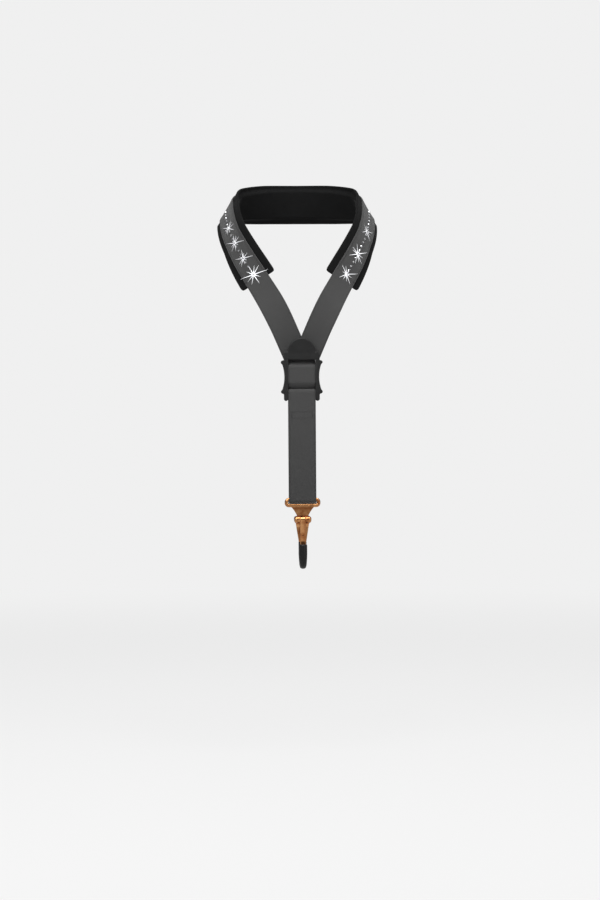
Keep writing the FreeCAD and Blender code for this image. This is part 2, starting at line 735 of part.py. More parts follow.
def make_hook_body():
    half = size("hook_half")
    back = LEG + size("shank_thick") / 2
    inner = LEG - size("shank_thick") / 2
    high = size("knuckle_high")
    pivot = size("pivot_forward")
    shank = size("shank_length")
    body = doc.addObject("PartDesign::Body", "HookCasting")
    # Side view: the arm from the back shank over the swivel to the gate's knuckle.
    side = new_sketch(body, "SideOutline", "YZ_Plane", loop(
        (back, -shank), (back, -6), ((back - 1.9, -1.9), (back - 6, 0)), (-pivot, 0),
        ((-pivot - high / 2, -high / 2), (-pivot, -high)), (inner - 5, -high),
        ((inner - 1.4, -high - 1.4), (inner, -high - 5)), (inner, -shank)))
    pad(body, side, "Casting", "2 * Sizes.hook_half", both=True)
    doc.recompute()
    # Front view: round knuckles above a shank that tapers into the sleeve.
    low_half = size("shank_low_half")
    turn = size("knuckle_round")
    wide = half + 4
    for sign, word in ((-1, "Left"), (1, "Right")):
        taper = new_sketch(body, word + "TaperOutline", "XZ_Plane", loop(
            (sign * (half - turn), 0.5), (sign * (half - turn), 0),
            ((sign * (half - 0.29 * turn), -0.29 * turn), (sign * half, -turn)),
            (sign * half, -high + turn),
            ((sign * (half - 0.24 * turn), -high + 0.2), (sign * (half - 0.7 * turn), -high - 0.9)),
            (sign * low_half, -shank + 0.2), (sign * low_half, -shank - 1),
            (sign * wide, -shank - 1), (sign * wide, 0.5)))
        pocket(body, taper, word + "Taper", 80, both=True)
    doc.recompute()
    slot_half = size("gate_width") / 2 + size("gate_side_gap")
    slot = new_sketch(body, "GateSlotOutline", "XZ_Plane", loop(
        (-slot_half, -high - 1), (slot_half, -high - 1), (slot_half, 1), (-slot_half, 1)),
        pivot + high)
    pocket(body, slot, "GateSlot", high + size("pivot_knuckle") + 1)
    bore = new_sketch(body, "PinBoreOutline", "YZ_Plane",
                      circle(-pivot, PIVOT_Z, size("pin_size") / 2 + size("turn_clear") / 2))
    pocket(body, bore, "PinBore", 4 * half, both=True)
    seat = new_sketch(body, "StudSeatOutline", "XY_Plane",
                      circle(0, 0, size("stud_size") / 2 + size("sleeve_gap")), 1)
    pocket(body, seat, "StudSeat", 6.2)
    doc.recompute()
    core = round_rod(size("core_size") / 2, -shank + 4, NOSE_Z - LEG_HALF - 2)
    casting = body.Shape.fuse(core).removeSplitter()
    body.Label = "HookCastingSource"
    add_shape("hook_body", casting, HOOK_PLACE)


def make_sleeve():
    shank = size("shank_length")
    nose = NOSE_Z - LEG_HALF
    outer = round_rod(LEG_HALF, -shank - size("sleeve_gap"), NOSE_Z)
    rims = [edge for edge in outer.Edges
            if edge.BoundBox.ZMin > NOSE_Z - 0.01 and edge.BoundBox.YMax < 0]
    outer = outer.makeFillet(size("nose_round"), rims)
    bore = round_rod(size("core_size") / 2 + size("sleeve_gap"), -shank + 4, nose - 2 + 0.05)
    sleeve = outer.cut(bore)
    # From the front the sleeve narrows towards the bottom of the hook.
    low_half = size("sleeve_low_half")
    low = -size("hook_length")
    for sign in (-1, 1):
        taper_top = low + size("sleeve_taper")
        corners = [(LEG_HALF + 0.1, taper_top), (low_half, low + 4), (low_half - 1.2, low - 1),
                   (LEG_HALF + 5, low - 1), (LEG_HALF + 5, taper_top)]
        ring = [Vector(sign * x, -40, z) for x, z in corners]
        side = Part.Face(Part.makePolygon(ring + ring[:1])).extrude(Vector(0, 80, 0))
        sleeve = sleeve.cut(side)
    add_shape("hook_sleeve", sleeve, HOOK_PLACE)


def make_gate():
    pivot = size("pivot_forward")
    knuckle = size("pivot_knuckle")
    thick = size("gate_thick")
    low_z = PIVOT_Z - size("gate_length")
    face_f = LEG - LEG_HALF - size("nose_gap")
    place = HOOK_PLACE
    body = new_body("gate_lever", place)
    round_pivot = new_sketch(body, "KnuckleOutline", "YZ_Plane",
                             circle(-pivot, PIVOT_Z, knuckle))
    pad(body, round_pivot, "Knuckle", "Sizes.gate_width", both=True)
    front_f = pivot + knuckle - 0.5
    lever = new_sketch(body, "LeverOutline", "YZ_Plane", loop(
        (-front_f, PIVOT_Z - 0.6), (-front_f + thick + 1.4, PIVOT_Z - 0.6),
        (-face_f + thick, low_z + 0.6), ((-face_f + thick / 2, low_z), (-face_f, low_z + 0.6)),
        (-face_f, low_z + 3)))
    pad(body, lever, "Lever", "Sizes.gate_width", both=True)
    doc.recompute()
    bore = new_sketch(body, "PinBoreOutline", "YZ_Plane",
                      circle(-pivot, PIVOT_Z, size("pin_size") / 2 + size("turn_clear")))
    pocket(body, bore, "PinBore", 20, both=True)
    half = size("spring_half") + 0.25
    room = new_sketch(body, "SpringRoomOutline", "XZ_Plane", loop(
        (-half, PIVOT_Z - knuckle - 2.2), (half, PIVOT_Z - knuckle - 2.2), (half, 3),
        (-half, 3)), pivot + knuckle - 1.0)
    pocket(body, room, "SpringRoom", 2 * knuckle + 1)


def make_pin():
    half = size("hook_half") - 0.2
    pin = doc.addObject("Part::Cylinder", "gate_pin")
    pin.setExpression("Radius", "Sizes.pin_size / 2")
    pin.setExpression("Height", "2 * (Sizes.hook_half - 0.2)")
    place = Placement(Vector(-half, -size("pivot_forward"), PIVOT_Z),
                      Rotation(Vector(0, 1, 0), 90))
    pin.Placement = HOOK_PLACE.multiply(place)
    add_node("gate_pin", pin)


def make_spring():
    """A torsion spring on the pin: a coil of touching turns and the leg that bears back."""
    wire = size("spring_wire")
    half = size("spring_half")
    bore = size("pin_size") / 2 + size("turn_clear")
    middle = bore + wire / 2
    turns = int(2 * half / wire)
    coil = None
    for i in range(turns):
        x = (i - (turns - 1) / 2) * wire * 0.96
        turn = Part.makeTorus(middle, wire / 2, Vector(x, 0, 0), Vector(1, 0, 0))
        coil = turn if coil is None else coil.fuse(turn)
    reach = size("pivot_knuckle") + 0.8
    leg = Part.makeCylinder(wire / 2, reach, Vector(0, 0, middle), Vector(0, 1, 0))
    coil = coil.fuse(leg)
    place = Placement(Vector(0, -size("pivot_forward"), PIVOT_Z), Rotation())
    add_shape("gate_spring", coil, HOOK_PLACE.multiply(place))


make_pad()
make_neck_web()
make_crystals()
make_drop_web()
make_slider()
make_ring()
make_stud()
make_hook_body()
make_sleeve()
make_gate()
make_pin()
make_spring()
doc.recompute()

# ---------------------------------------------------------------- checks and export
for obj in doc.Objects:
    if "Invalid" in obj.State or "Error" in obj.State:
        raise RuntimeError("%s is %s" % (obj.Label, obj.State))
for name, obj in nodes.items():
    if obj.Shape.isNull() or not obj.Shape.isValid() or obj.Shape.Volume <= 0:
        raise RuntimeError("%s has no sound shape" % name)

os.makedirs("parts", exist_ok=True)
for name, obj in nodes.items():
    obj.Shape.exportStep("parts/%s.step" % name)
    box = obj.Shape.BoundBox
    print("%-18s solids %d volume %9.1f  x %7.1f %7.1f  y %7.1f %7.1f  z %7.1f %7.1f" % (
        name, len(obj.Shape.Solids), obj.Shape.Volume, box.XMin, box.XMax, box.YMin, box.YMax,
        box.ZMin, box.ZMax))
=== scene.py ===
# %% [markdown]
# # A padded neck strap for a saxophone
#
# A saxophone hangs from its player's neck on a strap like this one: a padded band round the
# nape, two arms of webbing that meet in a V on the chest, and a single drop web that runs
# through a sliding buckle and round a swivel ring to a snap hook. This lesson dresses the
# engineer's model of it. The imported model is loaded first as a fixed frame, and everything that
# is made here goes where that frame says, in metres.

# %% Load the frame
import json
import math

import bmesh
import bpy
from mathutils import Matrix, Quaternion, Vector


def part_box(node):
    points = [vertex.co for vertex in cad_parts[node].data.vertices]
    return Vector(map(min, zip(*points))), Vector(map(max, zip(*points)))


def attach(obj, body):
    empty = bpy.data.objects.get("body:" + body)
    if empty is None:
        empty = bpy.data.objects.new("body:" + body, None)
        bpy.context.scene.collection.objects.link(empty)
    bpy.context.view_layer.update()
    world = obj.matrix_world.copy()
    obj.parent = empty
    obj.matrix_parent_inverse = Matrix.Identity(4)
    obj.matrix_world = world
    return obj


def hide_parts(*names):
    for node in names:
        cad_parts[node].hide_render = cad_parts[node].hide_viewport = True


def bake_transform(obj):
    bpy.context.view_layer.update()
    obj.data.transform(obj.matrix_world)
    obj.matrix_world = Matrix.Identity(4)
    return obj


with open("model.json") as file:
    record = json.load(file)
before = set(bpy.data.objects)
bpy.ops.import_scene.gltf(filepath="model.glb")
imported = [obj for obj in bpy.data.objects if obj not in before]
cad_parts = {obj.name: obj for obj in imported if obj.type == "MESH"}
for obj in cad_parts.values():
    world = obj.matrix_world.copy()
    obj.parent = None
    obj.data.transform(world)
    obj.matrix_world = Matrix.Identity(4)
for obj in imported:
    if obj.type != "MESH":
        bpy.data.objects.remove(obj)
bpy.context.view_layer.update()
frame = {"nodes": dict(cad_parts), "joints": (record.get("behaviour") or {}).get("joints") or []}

# %% [markdown]
# ## The camera
#
# A small thing that is seen from close by looks bent by perspective. This one is seen from well
# over two metres in front, level with the chest, so a long lens is right. The sensor's long side
# is the picture's height. The view is not quite square to the strap: the camera stands a little
# to the left and is turned back by two degrees, with under half a degree of roll. The strap
# itself is even on both sides.

# %% Camera
MM = 0.001

camera_data = bpy.data.cameras.new("StudioCamera")
camera_data.sensor_width = 36
camera_data.lens = 80.96
camera_data.clip_end = 60
camera = bpy.data.objects.new("StudioCamera", camera_data)
bpy.context.scene.collection.objects.link(camera)
camera.location = (-75.7 * MM, -2370.5 * MM, -287.5 * MM)
camera.rotation_euler = [math.radians(angle) for angle in (90, 0.38, -1.9)]
bpy.context.scene.camera = camera
print("camera at", tuple(round(c, 3) for c in camera.location))

# %% [markdown]
# ## Writing materials as sums
#
# A procedural material is a graph of nodes, and graphs made by hand soon become a tangle of
# links. It is easier to write the shader's arithmetic as Python. A Wire is one output in the
# graph, and adding or multiplying two of them adds the Math node that does it.

# %% Wires
class Wire:
    """An output socket that Python's operators work on."""

    def __init__(self, graph, socket):
        self.graph = graph
        self.socket = socket

    def math(self, operation, *others):
        inputs = dict(enumerate((self,) + others))
        return self.graph.node("ShaderNodeMath", {"operation": operation}, inputs)

    def __add__(self, other):
        return self.math("ADD", other)

    def __radd__(self, other):
        return self.math("ADD", other)

    def __sub__(self, other):
        return self.math("SUBTRACT", other)

    def __rsub__(self, other):
        return (self * -1.0).math("ADD", other)

    def __mul__(self, other):
        return self.math("MULTIPLY", other)

    def __rmul__(self, other):
        return self.math("MULTIPLY", other)

    def __truediv__(self, other):
        return self.math("DIVIDE", other)

    def sine(self):
        return self.math("SINE")

    def size(self):
        return self.math("ABSOLUTE")

    def power(self, exponent):
        return self.math("POWER", exponent)

    def rise(self, low, high, start=0.0, end=1.0):
        """From start, below low, to end, above high, and smooth between."""
        return self.graph.node("ShaderNodeMapRange", {"interpolation_type": "SMOOTHSTEP"},
                               {0: self, 1: low, 2: high, 3: start, 4: end})


# %% [markdown]
# ## Graphs and finishes
#
# A Graph makes every other kind of node with a single method, which first sets the node up and
# then feeds its sockets with numbers or Wires. A Finish is a Graph for one material: it starts
# from the Principled shader, keeps what is the same all over on the shader's own sockets, and
# knows the patterns that most finishes need.

# %% Graphs and finishes
class Graph:
    """A tree of nodes, each given back as its output, or as itself if it has none."""

    def __init__(self, tree):
        self.tree = tree
        self.tree.nodes.clear()

    def feed(self, socket, value):
        if isinstance(value, Wire):
            self.tree.links.new(value.socket, socket)
        else:
            socket.default_value = value

    def node(self, kind, settings=None, inputs=None, output=0):
        made = self.tree.nodes.new(kind)
        for name, value in (settings or {}).items():
            setattr(made, name, value)
        for socket, value in (inputs or {}).items():
            self.feed(made.inputs[socket], value)
        return Wire(self, made.outputs[output]) if made.outputs else made

    def axes(self, vector):
        """The three numbers in a vector."""
        split = self.node("ShaderNodeSeparateXYZ", inputs={0: vector}).socket.node
        return [Wire(self, output) for output in split.outputs]

    def ray(self, *names):
        """1 for the kinds of ray that are named."""
        outputs = self.node("ShaderNodeLightPath").socket.node.outputs
        seen = Wire(self, outputs[names[0]])
        for name in names[1:]:
            seen = seen.math("MAXIMUM", Wire(self, outputs[name]))
        return seen

    def blend(self, share, low, high):
        """A number between two others."""
        return self.node("ShaderNodeMix", inputs={0: share, 2: low, 3: high})

    def blend_colors(self, share, low, high):
        return self.node("ShaderNodeMix", {"data_type": "RGBA"},
                         {0: share, 6: low, 7: high}, output=2)


class Finish(Graph):
    """A material on a Principled shader."""

    def __init__(self, name, slot=None, **fixed):
        self.material = bpy.data.materials.new(name)
        self.material.use_nodes = True
        super().__init__(self.material.node_tree)
        surface = self.node("ShaderNodeBsdfPrincipled")
        self.shader = surface.socket.node
        self.output = self.node("ShaderNodeOutputMaterial", inputs={0: surface})
        self.slot = slot
        for socket, value in fixed.items():
            self.set(socket.replace("_", " "), value)

    def set(self, socket, value):
        self.feed(self.shader.inputs[socket], value)

    def place(self):
        """Object coordinates, in metres."""
        return self.node("ShaderNodeTexCoord", output="Object")

    def noise(self, scale, detail, rough=0.5, where=None):
        """A cloudy pattern, as fine as its scale, which may differ along the three axes."""
        even = (scale,) * 3 if isinstance(scale, (int, float)) else scale
        scaled = self.node("ShaderNodeMapping", inputs={
            "Vector": where or self.place(), "Scale": even})
        return self.node("ShaderNodeTexNoise", inputs={
            "Vector": scaled, "Scale": 1.0, "Detail": detail, "Roughness": rough})

    def bump(self, height, distance, strength):
        self.set("Normal", self.node("ShaderNodeBump", inputs={
            "Height": height, "Distance": distance, "Strength": strength}))

    def report(self):
        print(self.material.name, "is a graph of", len(self.tree.nodes), "nodes")


def grey(level, warm=0.0):
    """A linear grey with alpha, a little warm or cool."""
    return (level * (1 + warm), level, level * (1 - warm), 1.0)


# %% [markdown]
# ## Floor, backdrop and lamps
#
# The strap is shown by itself, hanging in a white studio. To the camera the floor and the world
# are the same pale grey, so there is no horizon, while the floor near the strap keeps part of
# its real shading, which is where the soft shadow falls. Metal that mirrors an all-white room
# looks flat, so what it mirrors is a darker floor and horizon under a bright ceiling. The lamps
# are large and plain: a soft box in front and to the left, a weaker one to the right, and one
# above that draws a line of light on metal.

# %% World
PAPER = 0.871
FILL = 0.38
HORIZON, CEILING = 0.20, 1.10

world = bpy.data.worlds.new("Studio")
bpy.context.scene.world = world
world.use_nodes = True
room = Graph(world.node_tree)
upward = room.axes(room.node("ShaderNodeTexCoord", output="Generated"))[2]
mirrored = upward.rise(0.45, 0.90, HORIZON, CEILING)
level = room.blend(room.ray("Is Glossy Ray"), FILL, mirrored)
seen_level = room.blend(room.ray("Is Camera Ray"), level, PAPER)
glow = room.node("ShaderNodeBackground", inputs={0: (1, 1, 1, 1), 1: seen_level})
room.node("ShaderNodeOutputWorld", inputs={0: glow})
print("world: horizon", HORIZON, "ceiling", CEILING)

# %% Floor
FLOOR_Z = -620 * MM
FLOOR_RADIUS = 12
FLOOR_MIRRORED = 0.55
SHADOW_END, PAPER_START = 0.9, 2.6

floor_mesh = bmesh.new()
bmesh.ops.create_circle(floor_mesh, cap_ends=True, segments=96, radius=FLOOR_RADIUS)
bmesh.ops.translate(floor_mesh, verts=floor_mesh.verts, vec=(0, 0, FLOOR_Z))
floor_data = bpy.data.meshes.new("studio_floor")
floor_mesh.to_mesh(floor_data)
floor_mesh.free()
floor = bpy.data.objects.new("studio_floor", floor_data)
bpy.context.scene.collection.objects.link(floor)

paper = Finish("StudioPaper", Base_Color=grey(0.86), Roughness=0.9)
distance = paper.node("ShaderNodeVectorMath", {"operation": "LENGTH"}, {0: paper.place()},
                      output=1)
far = distance.rise(SHADOW_END, PAPER_START)
in_camera = paper.ray("Is Camera Ray", "Is Transmission Ray")
self_lit = paper.node("ShaderNodeEmission", inputs={
    0: paper.blend_colors(in_camera, grey(FLOOR_MIRRORED), grey(1.0)), 1: PAPER})
share = in_camera * (0.8 + far * 0.2) + paper.ray("Is Glossy Ray") * 0.85
mixed = paper.node("ShaderNodeMixShader", inputs={
    0: share, 1: Wire(paper, paper.shader.outputs[0]), 2: self_lit})
paper.feed(paper.output.inputs[0], mixed)
floor_data.materials.append(paper.material)
paper.report()

# %% Lamps
STRAP_MIDDLE = Vector((0, -0.1, -0.2))


def soft_box(name, place, width, height, watts):
    """A lamp of some size that faces the middle of the strap."""
    data = bpy.data.lights.new(name, "AREA")
    data.shape = "RECTANGLE"
    data.size = width
    data.size_y = height
    data.energy = watts
    lamp = bpy.data.objects.new(name, data)
    lamp.location = place
    facing = STRAP_MIDDLE - Vector(place)
    lamp.rotation_euler = facing.to_track_quat("-Z", "Y").to_euler()
    bpy.context.scene.collection.objects.link(lamp)


soft_box("FrontLeft", (-1.2, -1.8, 1.0), 1.3, 1.3, watts=24)
soft_box("FrontRight", (1.6, -1.6, 0.3), 1.0, 1.6, watts=8)
soft_box("Above", (0.1, -0.8, 1.5), 1.6, 0.8, watts=30)
print("stage: paper level", PAPER, "and three soft boxes")

# %% [markdown]
# ## Where the webbing goes
#
# A web bends freely across its flat side, and it twists, but it hardly bends edgeways. Its line
# round the neck is therefore a chain of runs, each with one steady bend and twist. A frame of
# three directions is carried along it: along the web, out of its face, and across to its outer
# edge. Every cloth piece is first made flat, like cloth on a table, and is then laid along this
# line by moving each of its points. The weave is drawn in the flat layout, so it follows the
# cloth wherever that goes.

# %% The strap's line
# Each run's length in millimetres, then its bend, its twist and its edgeways ease in degrees.
RUNS = [(41, 35, -9, 0), (40, 8, -20, 0), (28, 52, -20, 0), (53, 20, 2, 0), (51, 12, -15, 0),
        (48, 0, -11, 0), (43, 30.2, -14, 10), (46, 0, 0, 0)]
NAPE_LEAN = math.radians(3)
PAD_THICK = 7.65 * MM
PAD_HALF_LENGTH = 228 * MM
PAD_HALF_WIDTH = 22.5 * MM
WEB_THICK = 1.4 * MM
SEW_GAP = 0.25 * MM
LAP = 1.7 * MM
LAP_START = PAD_HALF_LENGTH + 8 * MM
LAP_REACH = 62 * MM
ARM_SPREAD = 1.8 * MM
SPREAD_TOP_Z = -108 * MM
SPREAD_REACH = 45 * MM
LINE_HALF = sum(run[0] for run in RUNS) * MM
print("the line is", round(2 * LINE_HALF, 3), "m long")

# %% Following the line
def advance(spot, run, distance):
    """The place and frame a distance further along a run of steady bend, twist and ease."""
    place, along, out, across = spot
    length, bend, twist, edgeways = run
    spin = (across * bend - along * twist + out * edgeways) * (math.radians(1) / (length * MM))
    rate = spin.length
    if rate < 1e-9:
        return place + along * distance, along, out, across
    axis = spin / rate
    angle = rate * distance
    turn = Quaternion(axis, angle)
    steady = axis * axis.dot(along)
    swept = (along - steady) * math.sin(angle) + axis.cross(along) * (1 - math.cos(angle))
    return (place + steady * distance + swept / rate, turn @ along, turn @ out, turn @ across)


def run_starts():
    out = Vector((0, math.cos(NAPE_LEAN), math.sin(NAPE_LEAN)))
    along = Vector((1, 0, 0))
    spot = (out * PAD_THICK, along, out, out.cross(along))
    starts = []
    reached = 0.0
    for run in RUNS:
        starts.append((reached, run, spot))
        spot = advance(spot, run, run[0] * MM)
        reached += run[0] * MM
    return starts


STARTS = run_starts()


def strap_spot(at):
    """Place, along, out and across on the viewer's right half of the line."""
    reached, run, spot = [s for s in STARTS if s[0] <= at + 1e-12][-1]
    return advance(spot, run, at - reached)


def ease_in(x):
    """A soft step from 0 to 1."""
    x = max(0.0, min(1.0, x))
    return x * x * (3 - 2 * x)


def on_strap(at, across_by, out_by):
    """A point of the flat layout, laid on the strap. The left half mirrors the right one.

    Below the pad the two arms stand a little further apart than their line.
    """
    place, along, out, across = strap_spot(abs(at))
    point = place + across * across_by + out * out_by
    point.x += ARM_SPREAD * ease_in((SPREAD_TOP_Z - point.z) / SPREAD_REACH)
    return Vector((-point.x, point.y, point.z)) if at < 0 else point


def lap_shift(at):
    """The right arm passes over the left one, so each eases half a lap to its own side."""
    lift = LAP / 2 * ease_in((abs(at) - LAP_START) / LAP_REACH)
    return lift if at > 0 else -lift


print("the arms end at", [round(c, 4) for c in on_strap(LINE_HALF, 0.0, 0.0)])

# %% [markdown]
# ## Small tools for every mesh
#
# Blender's mesh operators take many words for a simple move, so the moves that are made again
# and again get a short name here: shift, rotate, cut, and turn the faces outwards. When a form
# is done, finish_piece makes the object, gives it its material and hangs it on its body.

# %% Small tools
def shift(bm, place):
    bmesh.ops.translate(bm, verts=bm.verts, vec=place)


def rotate(bm, angle, axis):
    """Turns a form about the origin."""
    bmesh.ops.rotate(bm, verts=bm.verts, cent=(0, 0, 0), matrix=Matrix.Rotation(angle, 3, axis))


def cut(bm, axis, *places):
    """Gives a form a row of points at places on an axis, in millimetres."""
    normal = Vector((1, 0, 0)) if axis == "X" else Vector((0, 0, 1))
    for place in places:
        bmesh.ops.bisect_plane(bm, geom=bm.verts[:] + bm.edges[:] + bm.faces[:], dist=1e-7,
                               plane_co=normal * (place * MM), plane_no=normal)


def face_outwards(bm):
    bmesh.ops.recalc_face_normals(bm, faces=bm.faces)


def verts_in(parts):
    return [part for part in parts if isinstance(part, bmesh.types.BMVert)]


def finish_piece(bm, name, finish, body=None, smooth=True):
    """Makes the object, gives it its material and lets it ride on its body."""
    bmesh.ops.remove_doubles(bm, verts=bm.verts, dist=1e-7)
    for face in bm.faces:
        face.smooth = smooth
    data = bpy.data.meshes.new(name)
    bm.to_mesh(data)
    bm.free()
    piece = bpy.data.objects.new(name, data)
    bpy.context.scene.collection.objects.link(piece)
    data.materials.append(finish.material)
    if body:
        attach(piece, body)
    print(name, len(data.polygons), "faces")
    return piece


# %% [markdown]
# ## Flat cloth, then laid cloth
#
# A cloth piece is a grid that is cut to size. Its layout is stored as a UV map in metres, and
# solidify gives it its thickness. Only then is each point moved to its place along a line.

# %% Cloth helpers
SELVEDGE_THIN = 0.42
SELVEDGE_ROUND = 1.1 * MM


def store_layout(bm):
    """Keeps where each point lies on the flat cloth, in metres, as the piece's UV map."""
    layer = bm.loops.layers.uv.new("Layout")
    for face in bm.faces:
        for corner in face.loops:
            corner[layer].uv = corner.vert.co.xy


def flat_band(start, end, half_width, pitch, rows):
    """A flat strip of cloth with its layout stored, X along and Y across."""
    bm = bmesh.new()
    columns = max(2, math.ceil((end - start) / pitch))
    bmesh.ops.create_grid(bm, x_segments=columns, y_segments=rows, size=1)
    centre = Matrix.Translation(((start + end) / 2, 0, 0))
    stretch = Matrix.Diagonal(((end - start) / 2, half_width, 1, 1))
    bmesh.ops.transform(bm, matrix=centre @ stretch, verts=bm.verts)
    store_layout(bm)
    return bm


def thicken(bm, thickness):
    """Turns a flat sheet into a slab, its top face where the sheet was."""
    face_outwards(bm)
    if sum(face.normal.z for face in bm.faces) < 0:
        bmesh.ops.reverse_faces(bm, faces=bm.faces)
    bmesh.ops.solidify(bm, geom=bm.faces[:] + bm.edges[:] + bm.verts[:], thickness=thickness)


def web_profile(bm, half_width):
    """Rounds the long edges of a flat web."""
    for vert in bm.verts:
        inside = half_width - abs(vert.co.y)
        pinch = 1 - SELVEDGE_THIN * (1 - ease_in(inside / SELVEDGE_ROUND))
        vert.co.z = (vert.co.z + WEB_THICK / 2) * pinch - WEB_THICK / 2


# %% [markdown]
# ## The webbing's weave
#
# Strap webbing is woven with thick yarns along it and thin ones across, so close up it is a field
# of small slanting ribs, with a tighter round selvedge along both edges. The weave is two crossed
# waves in the layout, whose height feeds a bump. The colour is a charcoal that varies a little
# from yarn to yarn. It is paler on top of the ribs and darker in the grooves between them, which
# is painted shade. It is darker along the selvedge. It is a little paler towards the top of the
# strap than at its low end, which is painted light from above.

# %% Webbing finish
RIB = 0.95 * MM
PICK = 0.62 * MM
# Heights between which the webbing's colour grows paler towards the top: painted light from
# above.
TOP_LIGHT_LOW_Z, TOP_LIGHT_HIGH_Z = -0.345, -0.225


def webbing(name, slot, level, half_width):
    cloth = Finish(name, slot, Roughness=0.78, Specular_IOR_Level=0.25,
                   Sheen_Weight=0.18, Sheen_Roughness=0.5)
    layout = cloth.node("ShaderNodeUVMap", {"uv_map": "Layout"})
    along, across = cloth.axes(layout)[:2]
    ribs = (across * (math.pi / RIB)).sine().size()
    stagger = (across / RIB).math("FLOOR") * (math.pi / 2)
    rows = (along * (math.pi / PICK) + stagger).sine().size()
    edge = across.size()
    selvedge = edge.rise(half_width - 2.1 * MM, half_width - 1.7 * MM)
    groove = (edge - (half_width - 2.0 * MM)).size().rise(0.0, 0.35 * MM)
    height = (ribs.power(0.6) * 0.55 + rows * 0.45) * (0.55 + groove * 0.45)
    cloth.bump(height, 0.22 * MM, 0.75)
    yarns = cloth.noise((60, 1400, 1), 3.0, where=layout)
    wear = cloth.noise((90, 90, 1), 4.0, where=layout)
    # Painted light from above: the colour is a little paler towards the top of the strap than at
    # its low end.
    lit_from_above = cloth.axes(cloth.place())[2].rise(TOP_LIGHT_LOW_Z, TOP_LIGHT_HIGH_Z)
    # The weave's height also goes into the colour, so the rib tops are paler and the grooves
    # between them darker: painted shade.
    tone = (0.72 + height * 0.25 + yarns * 0.16 + wear * 0.10
            - selvedge * 0.20 + lit_from_above * 0.20)
    colour = cloth.blend_colors(tone * 0.5, grey(0.0), grey(level * 2, 0.005))
    cloth.set("Base Color", colour)
    cloth.set("Roughness", 0.72 + wear * 0.16)
    cloth.report()
    return cloth


NECK_HALF = 14 * MM
DROP_HALF = 15 * MM
neck_webbing = webbing("NeckWebbing", "neck_webbing", 0.032, NECK_HALF)
drop_webbing = webbing("DropWebbing", "drop_webbing", 0.035, DROP_HALF)

# %% [markdown]
# ## The neck web
#
# One strip goes from the crossing in the V up one side, round the nape and down the other. Real
# webbing has soft round edges, so the strip's two selvedges are drawn in a little before it is
# laid, and where the two arms meet one passes over the other. A plane cuts both ends level.

# %% Neck web
ARM_CUT_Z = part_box("neck_web")[0].z

bm = flat_band(-LINE_HALF, LINE_HALF, NECK_HALF, 2.6 * MM, 30)
thicken(bm, WEB_THICK)
web_profile(bm, NECK_HALF)
for vert in bm.verts:
    at, across_by, out_by = vert.co
    height = SEW_GAP + lap_shift(at) + WEB_THICK + out_by
    vert.co = on_strap(at, across_by, height)
bmesh.ops.bisect_plane(bm, geom=bm.verts[:] + bm.edges[:] + bm.faces[:], dist=1e-6,
                       plane_co=(0, 0, ARM_CUT_Z), plane_no=(0, 0, -1), clear_outer=True)
bmesh.ops.holes_fill(bm, edges=[e for e in bm.edges if e.is_boundary], sides=0)
neck_web = finish_piece(bm, "neck_webbing_band", neck_webbing, "strap")
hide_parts("neck_web")

# %% [markdown]
# ## The pad
#
# The pad is two skins of soft black cloth sewn together round the rim, with foam between. The
# cloth is brushed and drinks nearly all light, so its finish is close to black, with a fine nap
# in the bump and only a breath of sheen.

# %% Pad finish
pad_cloth = Finish("PadCloth", "pad_cloth", Roughness=0.86, Specular_IOR_Level=0.06,
                   Sheen_Weight=0.04, Sheen_Roughness=0.4)
fibres = pad_cloth.noise(2600, 4.0, 0.65)
patches = pad_cloth.noise(120, 3.0)
pad_cloth.bump(fibres + patches * 0.6, 0.18 * MM, 0.6)
pad_cloth.set("Base Color", pad_cloth.blend_colors(
    fibres * 0.5 + patches * 0.5, grey(0.0040), grey(0.0095, -0.02)))
pad_cloth.set("Roughness", 0.80 + fibres * 0.12)
pad_cloth.report()

# %% [markdown]
# ## The pad's shape
#
# The pad's outer side is drawn flat by the web sewn along it, and its inner side swells towards
# the neck. It is made as one closed slab: the grid's own rows become the thin sewn rim and the
# swelling inside it, and one subdivision makes the slopes soft.

# %% Pad
SKIN = 1.2 * MM
RIM = 2 * SKIN + SEW_GAP
RIM_ROUND = 1.3 * MM
RIM_THIN = 0.35
FOAM = 5 * MM
FOAM_HALF = 15.5 * MM
LINING_SLACK = 0.35 * MM
PAD_SLOPE = 2.7 * MM
END_SLOPE = 9 * MM
PAD_CORNER = 4 * MM
END_SLANT = 7.5 * MM
SLANT_REACH = 60 * MM


def rounded_corner(at, across_by):
    """Pulls a rectangle's corner points in, so that its corners are round."""
    past_end = abs(at) - (PAD_HALF_LENGTH - PAD_CORNER)
    past_side = abs(across_by) - (PAD_HALF_WIDTH - PAD_CORNER)
    if past_end <= 0 or past_side <= 0:
        return at, across_by
    square = max(past_end, past_side)
    reach = math.hypot(past_end, past_side)
    scale = square / reach
    return (math.copysign(PAD_HALF_LENGTH - PAD_CORNER + past_end * scale, at),
            math.copysign(PAD_HALF_WIDTH - PAD_CORNER + past_side * scale, across_by))


def slanted(at, across_by):
    """The pad's ends are cut at a slant: the edge next to the neck runs further down."""
    past = ease_in((abs(at) - PAD_HALF_LENGTH + SLANT_REACH) / SLANT_REACH)
    reach = END_SLANT * past * (0.5 - across_by / (2 * PAD_HALF_WIDTH))
    return at + math.copysign(reach, at)


def swell(at, across_by):
    """How far the lining stands out over the foam."""
    side = ease_in((FOAM_HALF + PAD_SLOPE + 0.8 * MM - abs(across_by)) / (PAD_SLOPE + 1.6 * MM))
    end = ease_in((PAD_HALF_LENGTH - 1.5 * MM - abs(at)) / END_SLOPE)
    crown = 1 - 0.10 * (across_by / FOAM_HALF) ** 2
    return (FOAM + LINING_SLACK) * side * end * crown


